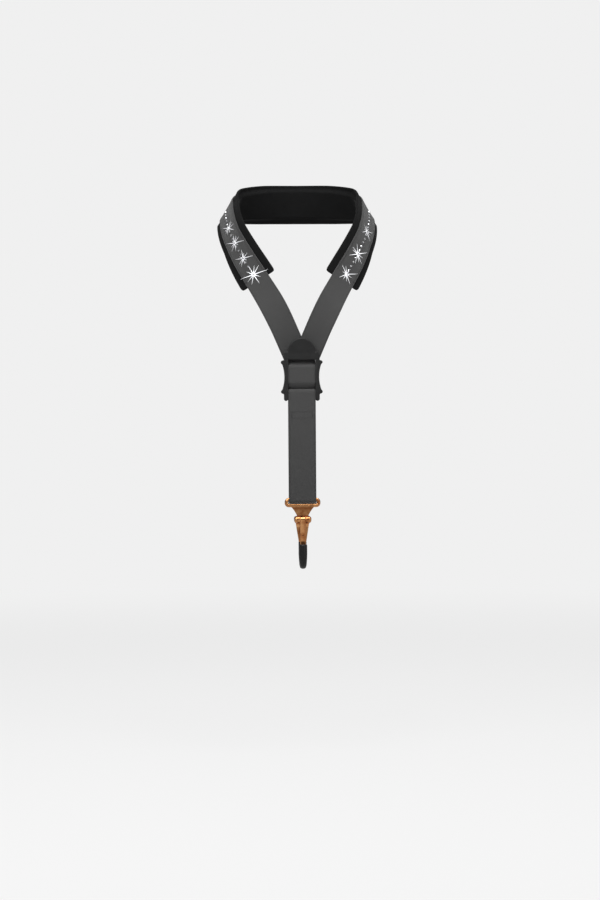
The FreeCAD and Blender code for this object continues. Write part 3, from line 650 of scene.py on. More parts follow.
bm = flat_band(-PAD_HALF_LENGTH, PAD_HALF_LENGTH, PAD_HALF_WIDTH, 2.6 * MM, 36)
thicken(bm, RIM)
for vert in bm.verts:
    at, across_by, depth = vert.co
    at, across_by = rounded_corner(at, across_by)
    inner = depth < -RIM / 2
    to_edge = min(PAD_HALF_WIDTH - abs(across_by), PAD_HALF_LENGTH - abs(at))
    soft = 1 - RIM_THIN * (1 - ease_in(to_edge / RIM_ROUND))
    depth = (depth + RIM / 2) * soft - RIM / 2
    if inner:
        depth -= swell(at, across_by)
    vert.co = on_strap(slanted(at, across_by), across_by, depth)
pad = finish_piece(bm, "neck_pad", pad_cloth, "strap")
smooth = pad.modifiers.new("Smooth", "SUBSURF")
smooth.levels = smooth.render_levels = 1
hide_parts("pad_cover", "pad_lining", "pad_foam")

# %% [markdown]
# ## Thread
#
# The web is sewn to the pad with a row of lockstitch along each edge and one across each end. A
# stitch is a short, tight grain of thread that sinks a little into the cloth at both ends. There
# are hundreds, so each one is a very plain form, and the thread's twist is left to its finish.

# %% Thread
thread = Finish("Thread", "pad_cloth", Roughness=0.62, Specular_IOR_Level=0.25)
twist = thread.noise(3200, 2.0)
thread.bump(twist, 0.08 * MM, 0.6)
thread.set("Base Color", thread.blend_colors(twist, grey(0.010), grey(0.026)))
thread.report()

# %% Stitching on the pad
STITCH_LONG = 2.1 * MM
STITCH_PITCH = 2.9 * MM
STITCH_ROW = NECK_HALF - 2.2 * MM
STITCH_PROUD = 0.04 * MM
END_ROW = PAD_HALF_LENGTH - 3.2 * MM


def add_stitch(bm, x, y, turned=False):
    """One stitch on the flat layout, along X, or across it when turned."""
    grain = Matrix.Diagonal((STITCH_LONG / 2, 0.26 * MM, 0.17 * MM, 1))
    turn = Matrix.Rotation(math.pi / 2 if turned else 0.0, 4, "Z")
    bmesh.ops.create_uvsphere(bm, u_segments=8, v_segments=4, radius=1,
                              matrix=Matrix.Translation((x, y, 0)) @ turn @ grain)


bm = bmesh.new()
count = int((2 * PAD_HALF_LENGTH - 8 * MM) / STITCH_PITCH)
for i in range(count + 1):
    x = (i - count / 2) * STITCH_PITCH
    for y in (-STITCH_ROW, STITCH_ROW):
        add_stitch(bm, x, y)
for end in (-1, 1):
    for i in range(9):
        add_stitch(bm, end * END_ROW, (i - 4) * STITCH_PITCH, turned=True)
for vert in bm.verts:
    at, across_by, rise = vert.co
    vert.co = on_strap(at, across_by, SEW_GAP + WEB_THICK + STITCH_PROUD + rise)
face_outwards(bm)
finish_piece(bm, "pad_stitching", thread, "strap")

# %% [markdown]
# ## The drop web
#
# Below the V a single web does all the work. It comes down behind the slider's top bar, passes
# forward over the middle bar, back behind the low bar, down and round the swivel ring, up the
# front, and over the low bar again to its sewn end. Seen from the side that is a chain of
# straight stretches and round turns, so the route is drawn as rounds with a radius each, like a
# belt over pulleys. It is made in two pieces that meet behind the low bar, because each piece
# may bend across one joint only.

# %% The drop web's route
BAR_HALF = 2.3 * MM
MIDDLE_BAR_HIGH = 20 * MM
LOW_BAR_TOP = -17 * MM
LOW_BAR_HIGH = 7.6 * MM
SLIDER_FOOT = 27.9 * MM
WEB_CLEAR = 0.2 * MM
WEB_ROUND = BAR_HALF + WEB_CLEAR + WEB_THICK / 2
TOP_BAR_BACK = 1.4 * MM

RING_Y, RING_Z = next(joint["pos_m"][1:] for joint in frame["joints"]
                      if joint["name"] == "ring_swing")
SLIDER_Y = RING_Y
SLIDER_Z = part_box("slider_frame")[0].z + SLIDER_FOOT
DROP_F = -(TOP_BAR_BACK + WEB_CLEAR + 2 * LAP + WEB_THICK / 2)
TOP_END_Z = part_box("web_drop_top")[1].z
print("slider at", round(SLIDER_Z, 4), "and ring at", round(RING_Z, 4))

# %% A belt over rounds
STRAIGHT = 1e-9


def belt(stops):
    """The straight stretches and turns of a belt over rounds: (forward, up, signed radius)."""
    headings = []
    for (f1, z1, r1), (f2, z2, r2) in zip(stops, stops[1:]):
        gap = math.hypot(f2 - f1, z2 - z1)
        headings.append(math.atan2(z2 - z1, f2 - f1) + math.acos((r1 - r2) / gap))
    pieces = []
    for i, angle in enumerate(headings):
        (f1, z1, r1), (f2, z2, r2) = stops[i], stops[i + 1]
        start = Vector((f1 + r1 * math.cos(angle), z1 + r1 * math.sin(angle)))
        end = Vector((f2 + r2 * math.cos(angle), z2 + r2 * math.sin(angle)))
        pieces.append((start, (end - start).length, 0.0, (end - start).normalized()))
        if i + 1 < len(headings) and abs(r2) > 0:
            turn = (headings[i + 1] - angle) % (2 * math.pi)
            if r2 > 0:
                turn -= 2 * math.pi
            if abs(turn) > 2 * math.pi - 1e-6 or abs(turn) < 1e-6:
                continue
            pieces.append((end, abs(r2 * turn), turn, (end - start).normalized()))
    return pieces


def on_belt(at, width_by, out_by):
    """A point of the flat layout on the route: out_by is towards the left of travel."""
    for start, length, turn, heading in over_route:
        if at <= length or over_route[-1][0] is start:
            break
        at -= length
    angle = turn * at / length
    if abs(turn) < STRAIGHT:
        place = start + heading * at
        direction = heading
    else:
        radius = length / turn
        c, s = math.cos(angle), math.sin(angle)
        direction = Vector((heading.x * c - heading.y * s, heading.x * s + heading.y * c))
        centre = start + Vector((-heading.y, heading.x)) * radius
        place = centre - Vector((-direction.y, direction.x)) * radius
    left = Vector((-direction.y, direction.x))
    spot = place + left * out_by
    return Vector((width_by, SLIDER_Y - spot.x, SLIDER_Z + spot.y))


# %% The whole route
MIDDLE_ROUND = MIDDLE_BAR_HIGH / 2 - BAR_HALF
LOW_TOP = LOW_BAR_TOP - BAR_HALF
LOW_LOW = LOW_BAR_TOP - LOW_BAR_HIGH + BAR_HALF
PASS_ROUND = WEB_ROUND + WEB_THICK + WEB_CLEAR
TAIL_F = WEB_ROUND - WEB_THICK - 0.3 * MM
START_UP = TOP_END_Z - SLIDER_Z
HANG_UP = 17.6 * MM
SPLIT_UP = -27.6 * MM
TAIL_TURN_UP, TAIL_END_UP = -33.9 * MM, -50 * MM
TAIL_TURN = 6 * MM
TOP_TURN = 3 * MM
RING_UP = RING_Z - SLIDER_Z
over_route = belt([
    (DROP_F, START_UP, 0), (DROP_F, HANG_UP, 0),
    (DROP_F + TOP_TURN, HANG_UP - 1.2 * MM, -TOP_TURN),
    (0, MIDDLE_ROUND, WEB_ROUND), (0, -MIDDLE_ROUND, WEB_ROUND),
    (0, LOW_TOP, -PASS_ROUND), (0, LOW_LOW, -PASS_ROUND), (0, RING_UP, -WEB_ROUND),
    (0, LOW_LOW, -WEB_ROUND), (0, LOW_TOP, -WEB_ROUND), (0, LOW_LOW, -WEB_ROUND),
    (TAIL_F - TAIL_TURN, TAIL_TURN_UP, TAIL_TURN), (TAIL_F, TAIL_END_UP, 0)])
route_length = sum(piece[1] for piece in over_route)


def passes(up, rising):
    """How far along the route a straight stretch passes a height, on its way up or down."""
    reached = 0.0
    for start, length, turn, heading in over_route:
        low, high = sorted((start.y, start.y + heading.y * length))
        if abs(turn) < STRAIGHT and low <= up <= high and (heading.y > 0) == rising:
            return reached + (up - start.y) / heading.y
        reached += length
    raise ValueError("no straight stretch passes this height")


SPLIT_AT = passes(SPLIT_UP, rising=False)
print("drop web", round(route_length, 3), "m, split at", round(SPLIT_AT, 3))

# %% Drop web
def drop_piece(name, start, end):
    bm = flat_band(start, end, DROP_HALF, 0.8 * MM, 32)
    thicken(bm, WEB_THICK)
    web_profile(bm, DROP_HALF)
    for vert in bm.verts:
        at, width_by, out_by = vert.co
        vert.co = on_belt(at, width_by, out_by + WEB_THICK / 2)
    face_outwards(bm)
    return finish_piece(bm, name, drop_webbing)


upper = drop_piece("drop_web_upper", 0.0, SPLIT_AT)
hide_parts("web_drop_top", "web_over_bar")
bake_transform(upper)

lower = drop_piece("drop_web_lower", SPLIT_AT, route_length)
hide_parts("web_back_leg", "web_loop", "web_front_leg", "web_sewn_end")
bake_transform(lower)

# %% [markdown]
# ## Where the drop web is sewn
#
# The web's end is folded over the low bar and caught down behind the front leg. A box of
# stitches shows on the front: two rows across the web and a short row down each side.

# %% Stitching on the drop web
SEWN_HIGH = -246.0 * MM - SLIDER_Z
SEWN_LOW = -252.6 * MM - SLIDER_Z
SEWN_SIDE = 11.2 * MM
SEWN_PITCH = 2.7 * MM

bm = bmesh.new()
for row in (SEWN_HIGH, SEWN_LOW):
    for i in range(-4, 5):
        add_stitch(bm, passes(row, rising=True), i * SEWN_PITCH, turned=True)
for side in (-1, 1):
    for i in (1, 2):
        row = SEWN_HIGH + (SEWN_LOW - SEWN_HIGH) * i / 3
        add_stitch(bm, passes(row, rising=True), side * SEWN_SIDE)
for vert in bm.verts:
    at, width_by, rise = vert.co
    vert.co = on_belt(at, width_by, -WEB_THICK / 2 - STITCH_PROUD - rise)
face_outwards(bm)
end_stitching = finish_piece(bm, "end_stitching", thread)
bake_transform(end_stitching)

# %% [markdown]
# ## Tools for hard pieces
#
# A moulding or a casting is never quite sharp: every edge has a small round that catches a line
# of light, and that line is most of what tells the eye that a thing is real. So each hard piece
# starts as a flat outline of a few points, is pushed out to its thickness, and then has its edges
# eased with a bevel. Pieces are drawn in their own small frame, X across and Z up with the
# viewer at -Y, and moved to their place at the end.

# %% Helpers for hard pieces
SHARP = math.radians(40)


def arc_points(start, middle, end, steps=8):
    """Points of the arc from start through middle to end, both ends included."""
    a, b, c = Vector(start), Vector(middle), Vector(end)
    ab, ac = b - a, c - a
    twice = 2 * (ab.x * ac.y - ab.y * ac.x)
    centre = a + Vector((ac.y * ab.length_squared - ab.y * ac.length_squared,
                         ab.x * ac.length_squared - ac.x * ab.length_squared)) / twice
    first = math.atan2(a.y - centre.y, a.x - centre.x)
    sweep = (math.atan2(c.y - centre.y, c.x - centre.x) - first) % (2 * math.pi)
    if twice < 0:
        sweep -= 2 * math.pi
    radius = (a - centre).length
    turns = [first + sweep * i / steps for i in range(steps + 1)]
    return [(centre.x + radius * math.cos(t), centre.y + radius * math.sin(t)) for t in turns]


def slab(points, back, front):
    """A plate with an outline in X and Z, in millimetres, from its back to its front."""
    bm = bmesh.new()
    face = bm.faces.new([bm.verts.new((x * MM, -back * MM, z * MM)) for x, z in points])
    pushed = bmesh.ops.extrude_face_region(bm, geom=[face])["geom"]
    bmesh.ops.translate(bm, verts=verts_in(pushed), vec=(0, (back - front) * MM, 0))
    face_outwards(bm)
    return bm


def side_slab(points, left, right):
    """A plate with an outline in Y and Z, in millimetres, from its left face to its right."""
    bm = slab(points, left, right)
    rotate(bm, math.pi / 2, "Z")
    return bm


def lies_at(axis, place):
    """A rule that picks the edges at one place on an axis, in millimetres."""
    return lambda edge: all(abs(getattr(v.co, axis) - place * MM) < 1e-6 for v in edge.verts)


def ease(bm, width, segments, wanted=lambda edge: True):
    """Rounds the sharp edges that answer to a rule."""
    sharp = [edge for edge in bm.edges if len(edge.link_faces) == 2
             and edge.calc_face_angle() > SHARP and wanted(edge)]
    bmesh.ops.bevel(bm, geom=sharp, offset=width * MM, offset_type="OFFSET", segments=segments,
                    profile=0.5, affect="EDGES", material=-1, clamp_overlap=True)
    return bm


def join(parts):
    """Several closed forms in one mesh."""
    whole = bmesh.new()
    for part in parts:
        carrier = bpy.data.meshes.new("carrier")
        part.to_mesh(carrier)
        part.free()
        whole.from_mesh(carrier)
        bpy.data.meshes.remove(carrier)
    return whole


def hard_piece(bm, name, finish, body, place, stands_for):
    """Moves a hard piece to its place, keeps its large faces flat and replaces its node."""
    shift(bm, place)
    piece = finish_piece(bm, name, finish, body)
    biggest = max(face.area for face in piece.data.polygons)
    for face in piece.data.polygons:
        if face.area > max(biggest * 0.12, 4e-6):
            face.use_smooth = False
    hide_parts(stands_for)


# %% [markdown]
# ## Moulded plastic
#
# The slider is black acetal: satin, slightly mottled from the mould, with a fine grain that
# keeps its highlights soft.

# %% Slider finish
slider_plastic = Finish("SliderPlastic", "slider_plastic", Roughness=0.42,
                        Specular_IOR_Level=0.26)
grain = slider_plastic.noise(1700, 3.0)
cloud = slider_plastic.noise(160, 3.0)
slider_plastic.bump(grain, 0.05 * MM, 0.5)
slider_plastic.set("Base Color", slider_plastic.blend_colors(
    cloud, grey(0.009), grey(0.017, -0.01)))
slider_plastic.set("Roughness", 0.38 + cloud * 0.16 + grain * 0.06)
slider_plastic.report()

# %% [markdown]
# ## The slider
#
# A flat one-piece moulding with three bars across it. The two rails carry small ears that the
# fingers pinch, and end in round feet; the top bar grows up into a dome-shaped tab for the thumb,
# which leans out a little above the bar and is flush with its face below. Rails, bars and tab
# are drawn as outlines, and the front edges get a wide round because they are made to be handled.

# %% Slider's rails
RAIL_IN, RAIL_OUT = 14.96, 19.5
RAIL_BACK, RAIL_FRONT = -2.6, 4.4
BAR_BACK = -1.4
TOP_LOW, TOP_HIGH = 16.3, 24.9
SHOULDER = 2.4
EAR_TOP, EAR_LOW = 15.6, -20.6
FOOT_LOW = -28.6
WAIST, EAR_OUT = 18.95, 22.7


def rail(side):
    """One rail's outline runs down its outer side, over both ears and round the foot."""
    foot = (RAIL_OUT - RAIL_IN) / 2
    points = [(RAIL_IN, TOP_LOW + 2), (RAIL_OUT, TOP_LOW + 2), (RAIL_OUT + 0.2, EAR_TOP + 0.3)]
    points += arc_points((20.9, EAR_TOP), (EAR_OUT, EAR_TOP - 1.5), (21.5, EAR_TOP - 3.9), 7)
    points += arc_points((20.9, EAR_TOP - 5.2), (WAIST, -2.5), (21.0, EAR_LOW + 5.2), 12)
    points += arc_points((21.7, EAR_LOW + 3.9), (EAR_OUT, EAR_LOW + 1.7), (21.0, EAR_LOW), 7)
    points += [(RAIL_OUT + 0.4, EAR_LOW - 0.4), (RAIL_OUT, EAR_LOW - 1.0)]
    points += arc_points((RAIL_OUT, FOOT_LOW + foot), (RAIL_OUT - foot, FOOT_LOW),
                         (RAIL_IN, FOOT_LOW + foot), 8)
    bm = slab([(side * x, z) for x, z in points], RAIL_BACK, RAIL_FRONT)
    ease(bm, 0.8, 4, lies_at("y", -RAIL_FRONT))
    return ease(bm, 0.5, 2, lies_at("y", -RAIL_BACK))


# %% Slider's bars and tab
TAB_HALF, TAB_RISE, TAB_DOWN, TAB_THICK = 15.1, 15.2, 6.6, 5.86
TAB_LEAN = math.radians(7)
BAR_DEEP, BAR_ROUND = 4.6, 2.28


def top_bar():
    round_end = arc_points((RAIL_OUT, TOP_HIGH - SHOULDER),
                           (RAIL_OUT - 0.29 * SHOULDER, TOP_HIGH - 0.29 * SHOULDER),
                           (RAIL_OUT - SHOULDER, TOP_HIGH), 6)
    points = [(-RAIL_OUT, TOP_LOW), (RAIL_OUT, TOP_LOW)] + round_end
    points += [(-x, z) for x, z in reversed(round_end)]
    bm = slab(points, BAR_BACK, RAIL_FRONT)
    return ease(bm, 0.9, 3, lies_at("y", -RAIL_FRONT))


def thumb_tab():
    """The tab and the face below it are one surface; the tab leans out above the bar."""
    turns = [math.pi * i / 24 for i in range(25)]
    points = [(-TAB_HALF, -TAB_DOWN), (TAB_HALF, -TAB_DOWN)]
    points += [(TAB_HALF * math.cos(t), 0.8 + TAB_RISE * math.sin(t)) for t in turns]
    bm = slab(points, 0, TAB_THICK)
    on_front = lies_at("y", -TAB_THICK)
    ease(bm, 1.0, 4, lambda edge: on_front(edge)
         and max(v.co.z for v in edge.verts) > (1 - TAB_DOWN) * MM)
    cut(bm, "Z", -2, 0, 2)
    for vert in bm.verts:
        vert.co.y -= math.tan(TAB_LEAN) * max(0.0, vert.co.z)
    shift(bm, (0, -BAR_BACK * MM, (TOP_HIGH - 1.2) * MM))
    return bm


def cross_bar(centre, high):
    """A bar across the slider, its top and bottom edges fully round."""
    bm = bmesh.new()
    bmesh.ops.create_cube(bm, size=1)
    bmesh.ops.scale(bm, verts=bm.verts, vec=(2 * (RAIL_IN + 1) * MM, BAR_DEEP * MM, high))
    shift(bm, (0, 0, centre))
    return ease(bm, BAR_ROUND, 6,
                lambda edge: abs(edge.verts[0].co.x - edge.verts[1].co.x) > MM)


# %% The whole slider
slider = join([rail(1), rail(-1), top_bar(), thumb_tab(), cross_bar(0, MIDDLE_BAR_HIGH),
               cross_bar(LOW_BAR_TOP - LOW_BAR_HIGH / 2, LOW_BAR_HIGH)])
slider_place = (0, SLIDER_Y, SLIDER_Z)
hard_piece(slider, "slider_moulding", slider_plastic, "slider", slider_place, "slider_frame")

# %% [markdown]
# ## Plated metal and coating
#
# The metal is polished copper-gold plate with faint polishing marks. Bands of painted shade
# darken its colour where it lies close to another part: under the ring's lower bar, and where the
# plate ends just above the hook. The hook's sleeve is a smooth black coating.

# %% Metal and coating
# Heights of the bands of painted shade: under the ring's lower bar, and where the plate ends
# above the hook.
PLATE_ROOT_Z = RING_Z - 9.0 * MM
PLATE_END_Z = RING_Z - 18.0 * MM


def plated(name, slot, low, high, rough, shade_bands=()):
    """A polished metal; each band of painted shade is given by its height and its reach."""
    metal = Finish(name, slot, Metallic=1.0, Roughness=rough)
    marks = metal.noise((900, 900, 160), 3.0)
    tarnish = metal.noise(140, 4.0)
    metal.bump(marks, 0.02 * MM, 0.35)
    tone = tarnish.rise(0.3, 0.7)
    up = metal.axes(metal.place())[2]
    # Each band of painted shade darkens the colour near its height.
    for height, reach in shade_bands:
        tone = tone - (1 - (up - height).size().rise(0.0, reach)) * 0.9
    metal.set("Base Color", metal.blend_colors(tone.math("MAXIMUM", 0.0), low, high))
    metal.set("Roughness", rough + marks * 0.10 + tarnish * 0.06)
    metal.report()
    return metal


gold_metal = plated("CopperGold", "gold_metal", (0.46, 0.17, 0.06, 1), (0.83, 0.42, 0.18, 1),
                    0.13, shade_bands=((PLATE_ROOT_Z, 1.5 * MM), (PLATE_END_Z, 2.2 * MM)))
pin_metal = plated("PinBrass", "pin_metal", (0.60, 0.33, 0.14, 1), (0.74, 0.46, 0.22, 1), 0.20)
spring_steel = plated("SpringSteel", "spring_steel", grey(0.50), grey(0.62), 0.22)

sleeve_coat = Finish("SleeveCoat", "sleeve_coat", Roughness=0.34, Specular_IOR_Level=0.28)
ripple = sleeve_coat.noise(420, 3.0)
sleeve_coat.bump(ripple, 0.06 * MM, 0.5)
sleeve_coat.set("Base Color", sleeve_coat.blend_colors(ripple, grey(0.005, -0.03), grey(0.010)))
sleeve_coat.set("Roughness", 0.28 + ripple * 0.14)
sleeve_coat.report()

# %% [markdown]
# ## The swivel ring
#
# The ring is one loop of round wire. The web goes round its upper bar, and a tapered plate
# is brazed under its lower bar to hold the swivel. The loop is made as a wire bender makes it:
# a round section is drawn along a straight, spun through a corner, and so on all the way round.

# %% Ring's loop
WIRE = 4.2
LOOP_HALF = 19.55 - WIRE / 2
LOOP_CORNER = 2.5
LOOP_LOW = -(WEB_ROUND + WEB_THICK / 2 + 0.2 * WEB_CLEAR) / MM - WIRE / 2


def wire_loop():
    bm = bmesh.new()
    bmesh.ops.create_circle(bm, segments=20, radius=WIRE / 2 * MM)
    rotate(bm, math.pi / 2, "Y")
    straight = LOOP_HALF - LOOP_CORNER
    upright = -LOOP_LOW - 2 * LOOP_CORNER
    shift(bm, (-straight * MM, 0, LOOP_LOW * MM))
    end = bm.verts[:] + bm.edges[:]
    centres = [(straight, LOOP_LOW + LOOP_CORNER), (straight, -LOOP_CORNER),
               (-straight, -LOOP_CORNER), (-straight, LOOP_LOW + LOOP_CORNER)]
    headings = [(2 * straight, 0), (0, upright), (-2 * straight, 0), (0, -upright)]
    for (go_x, go_z), (x, z) in zip(headings, centres):
        edges = [part for part in end if isinstance(part, bmesh.types.BMEdge)]
        pushed = bmesh.ops.extrude_edge_only(bm, edges=edges)["geom"]
        moved = verts_in(pushed)
        bmesh.ops.translate(bm, verts=moved, vec=(go_x * MM, 0, go_z * MM))
        end = moved + [part for part in pushed if isinstance(part, bmesh.types.BMEdge)
                       and all(v in moved for v in part.verts)]
        end = bmesh.ops.spin(bm, geom=end, cent=(x * MM, 0, z * MM), axis=(0, -1, 0),
                             angle=math.pi / 2, steps=7)["geom_last"]
    bmesh.ops.remove_doubles(bm, verts=bm.verts, dist=1e-6)
    face_outwards(bm)
    return bm


# %% [markdown]
# ## The ring's plate
#
# The plate starts as its front outline, pushed out to the thickness that it has round the
# swivel. Cuts across it give it rows of points, and the rows above the swivel are drawn in, so
# that it thins towards the wire as a forged plate does.

# %% Plate, and the whole ring
PLATE_TOP, PLATE_FOOT = 12.1, 6.1
PLATE_HIGH = 9.36
PLATE_HALF_THICK = 3.9
PLATE_THINS = 0.487
THICK_HIGH = 5.0
FRAME_LOW = LOOP_LOW - WIRE / 2


def swivel_plate():
    low = FRAME_LOW - PLATE_HIGH
    side = arc_points((PLATE_FOOT, low), ((PLATE_TOP + PLATE_FOOT) / 2 - 0.5, FRAME_LOW - 4.6),
                      (PLATE_TOP, FRAME_LOW), 10)
    points = side + [(PLATE_TOP, LOOP_LOW), (-PLATE_TOP, LOOP_LOW)]
    points += [(-x, z) for x, z in reversed(side)]
    bm = slab(points, -PLATE_HALF_THICK, PLATE_HALF_THICK)
    thins_from = low + THICK_HIGH
    cut(bm, "Z", thins_from, thins_from + 1.6, thins_from + 3.2)
    ease(bm, 0.8, 4, lambda edge: edge.verts[0].co.y * edge.verts[1].co.y > 0
         and max(v.co.z for v in edge.verts) < (LOOP_LOW - 0.2) * MM)
    for vert in bm.verts:
        past = (vert.co.z / MM - thins_from) / (LOOP_LOW - thins_from)
        vert.co.y *= 1 - PLATE_THINS * max(0.0, min(1.0, past))
    return bm


ring = join([wire_loop(), swivel_plate()])
hard_piece(ring, "ring_and_plate", gold_metal, "ring", (0, RING_Y, RING_Z), "swivel_ring")

# %% [markdown]
# ## The snap hook
#
# The hook is a casting. From the side it is an arm that comes forward over the swivel; from the
# front it has two round knuckles, which hold the gate's pin, above a shank that narrows down to
# the sleeve. The shank starts as the side outline pushed out to the full width. Cuts across it
# give it rows of points, and each row is drawn in to the width that the front view asks for.

# %% Hook's front view
HOOK_HALF = 9.25
HOOK_BACK, SHANK_FRONT = 12.5, 7.5
KNUCKLE_HIGH = 7.4
KNUCKLE_ROUND = 2.8
SHANK_LOW_HALF = 4.1
SHANK_LENGTH = 28.6
SLOT_FRONT = -2.8
SLOT_HALF = 3.2
PIVOT_Y, PIVOT_Z = -7.0, -3.7


def front_half(z):
    """Half the casting's width at a height, seen from the front."""
    if z > -KNUCKLE_ROUND:
        lift = (z + KNUCKLE_ROUND) / KNUCKLE_ROUND
        return HOOK_HALF - KNUCKLE_ROUND * (1 - math.sqrt(max(0.0, 1 - lift * lift)))
    turns_in = KNUCKLE_ROUND - KNUCKLE_HIGH
    if z > turns_in:
        return HOOK_HALF
    shank_top = -KNUCKLE_HIGH - 0.9
    drawn_in = 0.7 * KNUCKLE_ROUND
    if z > shank_top:
        return HOOK_HALF - drawn_in * ((z - turns_in) / (shank_top - turns_in)) ** 2
    start = HOOK_HALF - drawn_in
    share = (z - shank_top) / (-SHANK_LENGTH - shank_top)
    return start + (SHANK_LOW_HALF - start) * share


# %% Casting, knuckles and core
CUTS = (-0.35, -0.9, -1.8, -2.8, -4.6, -5.8, -6.8, -7.5, -8.3, -12, -17, -22, -26)
CORE_ROUND, CORE_Y, CORE_LONG = 2.5, 10, 8


def casting():
    points = [(HOOK_BACK, -SHANK_LENGTH)]
    points += arc_points((HOOK_BACK, -6), (HOOK_BACK - 1.9, -1.9), (HOOK_BACK - 6, 0), 8)
    points += [(SLOT_FRONT, 0), (SLOT_FRONT, -KNUCKLE_HIGH)]
    points += arc_points((SHANK_FRONT - 5, -KNUCKLE_HIGH),
                         (SHANK_FRONT - 1.4, -KNUCKLE_HIGH - 1.4),
                         (SHANK_FRONT, -KNUCKLE_HIGH - 5), 8)
    points += [(SHANK_FRONT, -SHANK_LENGTH)]
    bm = side_slab(points, -HOOK_HALF, HOOK_HALF)
    cut(bm, "Z", *CUTS)
    for vert in bm.verts:
        vert.co.x *= front_half(vert.co.z / MM) / HOOK_HALF
    return ease(bm, 1.0, 4, lambda edge: edge.verts[0].co.x * edge.verts[1].co.x > 0
                and min(v.co.z for v in edge.verts) > (0.2 - SHANK_LENGTH) * MM)


def knuckle(side):
    """One boss beside the gate, round from the side and domed from the front."""
    points = arc_points((PIVOT_Y, -0.05), (PIVOT_Y - 3.65, PIVOT_Z),
                        (PIVOT_Y, 0.05 - KNUCKLE_HIGH), 14)
    points += [(SLOT_FRONT + 1.5, 0.05 - KNUCKLE_HIGH), (SLOT_FRONT + 1.5, -0.05)]
    inner, outer = side * SLOT_HALF, side * (HOOK_HALF - 0.02)
    bm = side_slab(points, *sorted((inner, outer)))
    ease(bm, 2.5, 6, lies_at("x", outer))
    return ease(bm, 0.35, 2, lies_at("x", inner))


def core():
    """The hook's metal core, which the sleeve covers."""
    bm = bmesh.new()
    bmesh.ops.create_circle(bm, cap_ends=True, segments=20, radius=CORE_ROUND * MM)
    shift(bm, (0, CORE_Y * MM, (4 - SHANK_LENGTH) * MM))
    pushed = bmesh.ops.extrude_face_region(bm, geom=bm.faces[:])["geom"]
    bmesh.ops.translate(bm, verts=verts_in(pushed), vec=(0, 0, -CORE_LONG * MM))
    face_outwards(bm)
    return bm


# %% The whole hook
hook_place = (0, RING_Y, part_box("hook_body")[1].z)
hook = join([casting(), knuckle(1), knuckle(-1), core()])
hard_piece(hook, "hook_casting", gold_metal, "hook", hook_place, "hook_body")

# %% [markdown]
# ## The gate
#
# The gate is a light stamped lever. Its top curls over the pin and hides the spring, its front
# is flat with softened edges, and a small dimple is pressed in for the fingernail. The dimple is
# made by cutting the face into small squares and pressing their corners in.

# %% Gate
GATE_HALF = 3.0
GATE_LOW = PIVOT_Z - 29.6
GATE_FACE = -5.5
HOOD_OUT, HOOD_IN = 3.2, 2.2
DIMPLE_Z, DIMPLE_ROUND, DIMPLE_DEEP = -20.0, 1.7, 0.55
CHEEK_ROUND, CHEEK_THICK, CHEEK_X = 3.1, 1.2, 2.35


def round_pivot(radius, turns):
    """Points round the pin at angles in degrees."""
    return [(PIVOT_Y + radius * math.cos(math.radians(t)),
             PIVOT_Z + radius * math.sin(math.radians(t))) for t in turns]


def lever():
    points = round_pivot(HOOD_OUT, [80 + 12.5 * i for i in range(9)])
    points += [(GATE_FACE, GATE_LOW + 3)]
    points += arc_points((GATE_FACE, GATE_LOW + 0.6), (GATE_FACE + 1.2, GATE_LOW),
                         (GATE_FACE + 2.4, GATE_LOW + 0.6), 5)
    points += [(PIVOT_Y + 0.9, PIVOT_Z - 4.0)]
    points += round_pivot(HOOD_IN, [255 - 25 * i for i in range(8)])
    bm = side_slab(points, -GATE_HALF, GATE_HALF)
    for step in range(-4, 5):
        cut(bm, "X", step * 0.5)
        cut(bm, "Z", DIMPLE_Z + step * 0.5)
    on_left, on_right = lies_at("x", -GATE_HALF), lies_at("x", GATE_HALF)
    ease(bm, 0.55, 3, lambda edge: on_left(edge) or on_right(edge))
    for vert in bm.verts:
        reach = math.hypot(vert.co.x / MM, vert.co.z / MM - DIMPLE_Z) / DIMPLE_ROUND
        if reach < 1 and vert.co.y < (GATE_FACE - 0.6) * MM:
            vert.co.y += DIMPLE_DEEP * MM * math.cos(reach * math.pi / 2) ** 2
    return bm


def cheek(side):
    """One of the gate's two round cheeks on the pin."""
    bm = bmesh.new()
    bmesh.ops.create_cone(bm, cap_ends=True, segments=32, radius1=CHEEK_ROUND * MM,
                          radius2=CHEEK_ROUND * MM, depth=CHEEK_THICK * MM)
    rotate(bm, math.pi / 2, "Y")
    shift(bm, (side * CHEEK_X * MM, PIVOT_Y * MM, PIVOT_Z * MM))
    return ease(bm, 0.3, 2)


gate = join([lever(), cheek(1), cheek(-1)])
hard_piece(gate, "gate_stamping", gold_metal, "gate", hook_place, "gate_lever")

# %% [markdown]
# ## Stones
#
# Each stone is a small cut crystal: eight facets rise to a flat table. The real ones are set by
# hand and no two face quite the same way, so some flash and some stay grey. Each is therefore a
# cone's stump with a girdle under it, turned and tilted a little by a number of its own, and laid
# on the web. Its colour is a metal painted with white and grey patches. These are painted glints,
# which make some facets flash and leave others grey.

# %% Stone
stone = Finish("CutStone", "crystal", Metallic=0.9, Roughness=0.05)
# Painted glints: the patches of white and grey in the colour stand in for facets that flash and
# facets that stay grey.
glint = stone.noise(900, 2.0).rise(0.35, 0.62)
stone.set("Base Color", stone.blend_colors(glint, (0.20, 0.21, 0.24, 1), (1, 1, 1, 1)))
stone.report()

STONE_PITCH = 6.6 * MM
STONE_SIZE = 2.6 * MM
STONE_RISE = 1.3 * MM
STONE_COUNT = 18
STONE_TILT = 0.16
STONE_TURN = 20
FACE_OUT = SEW_GAP + WEB_THICK


def wobble(*seeds):
    """A steady number from -1 to 1 that looks random."""
    mixed_up = sum(seed * turn for seed, turn in zip(seeds, (12.9898, 78.233, 37.719)))
    value = math.sin(mixed_up) * 43758.5
    return 2 * (value - math.floor(value)) - 1


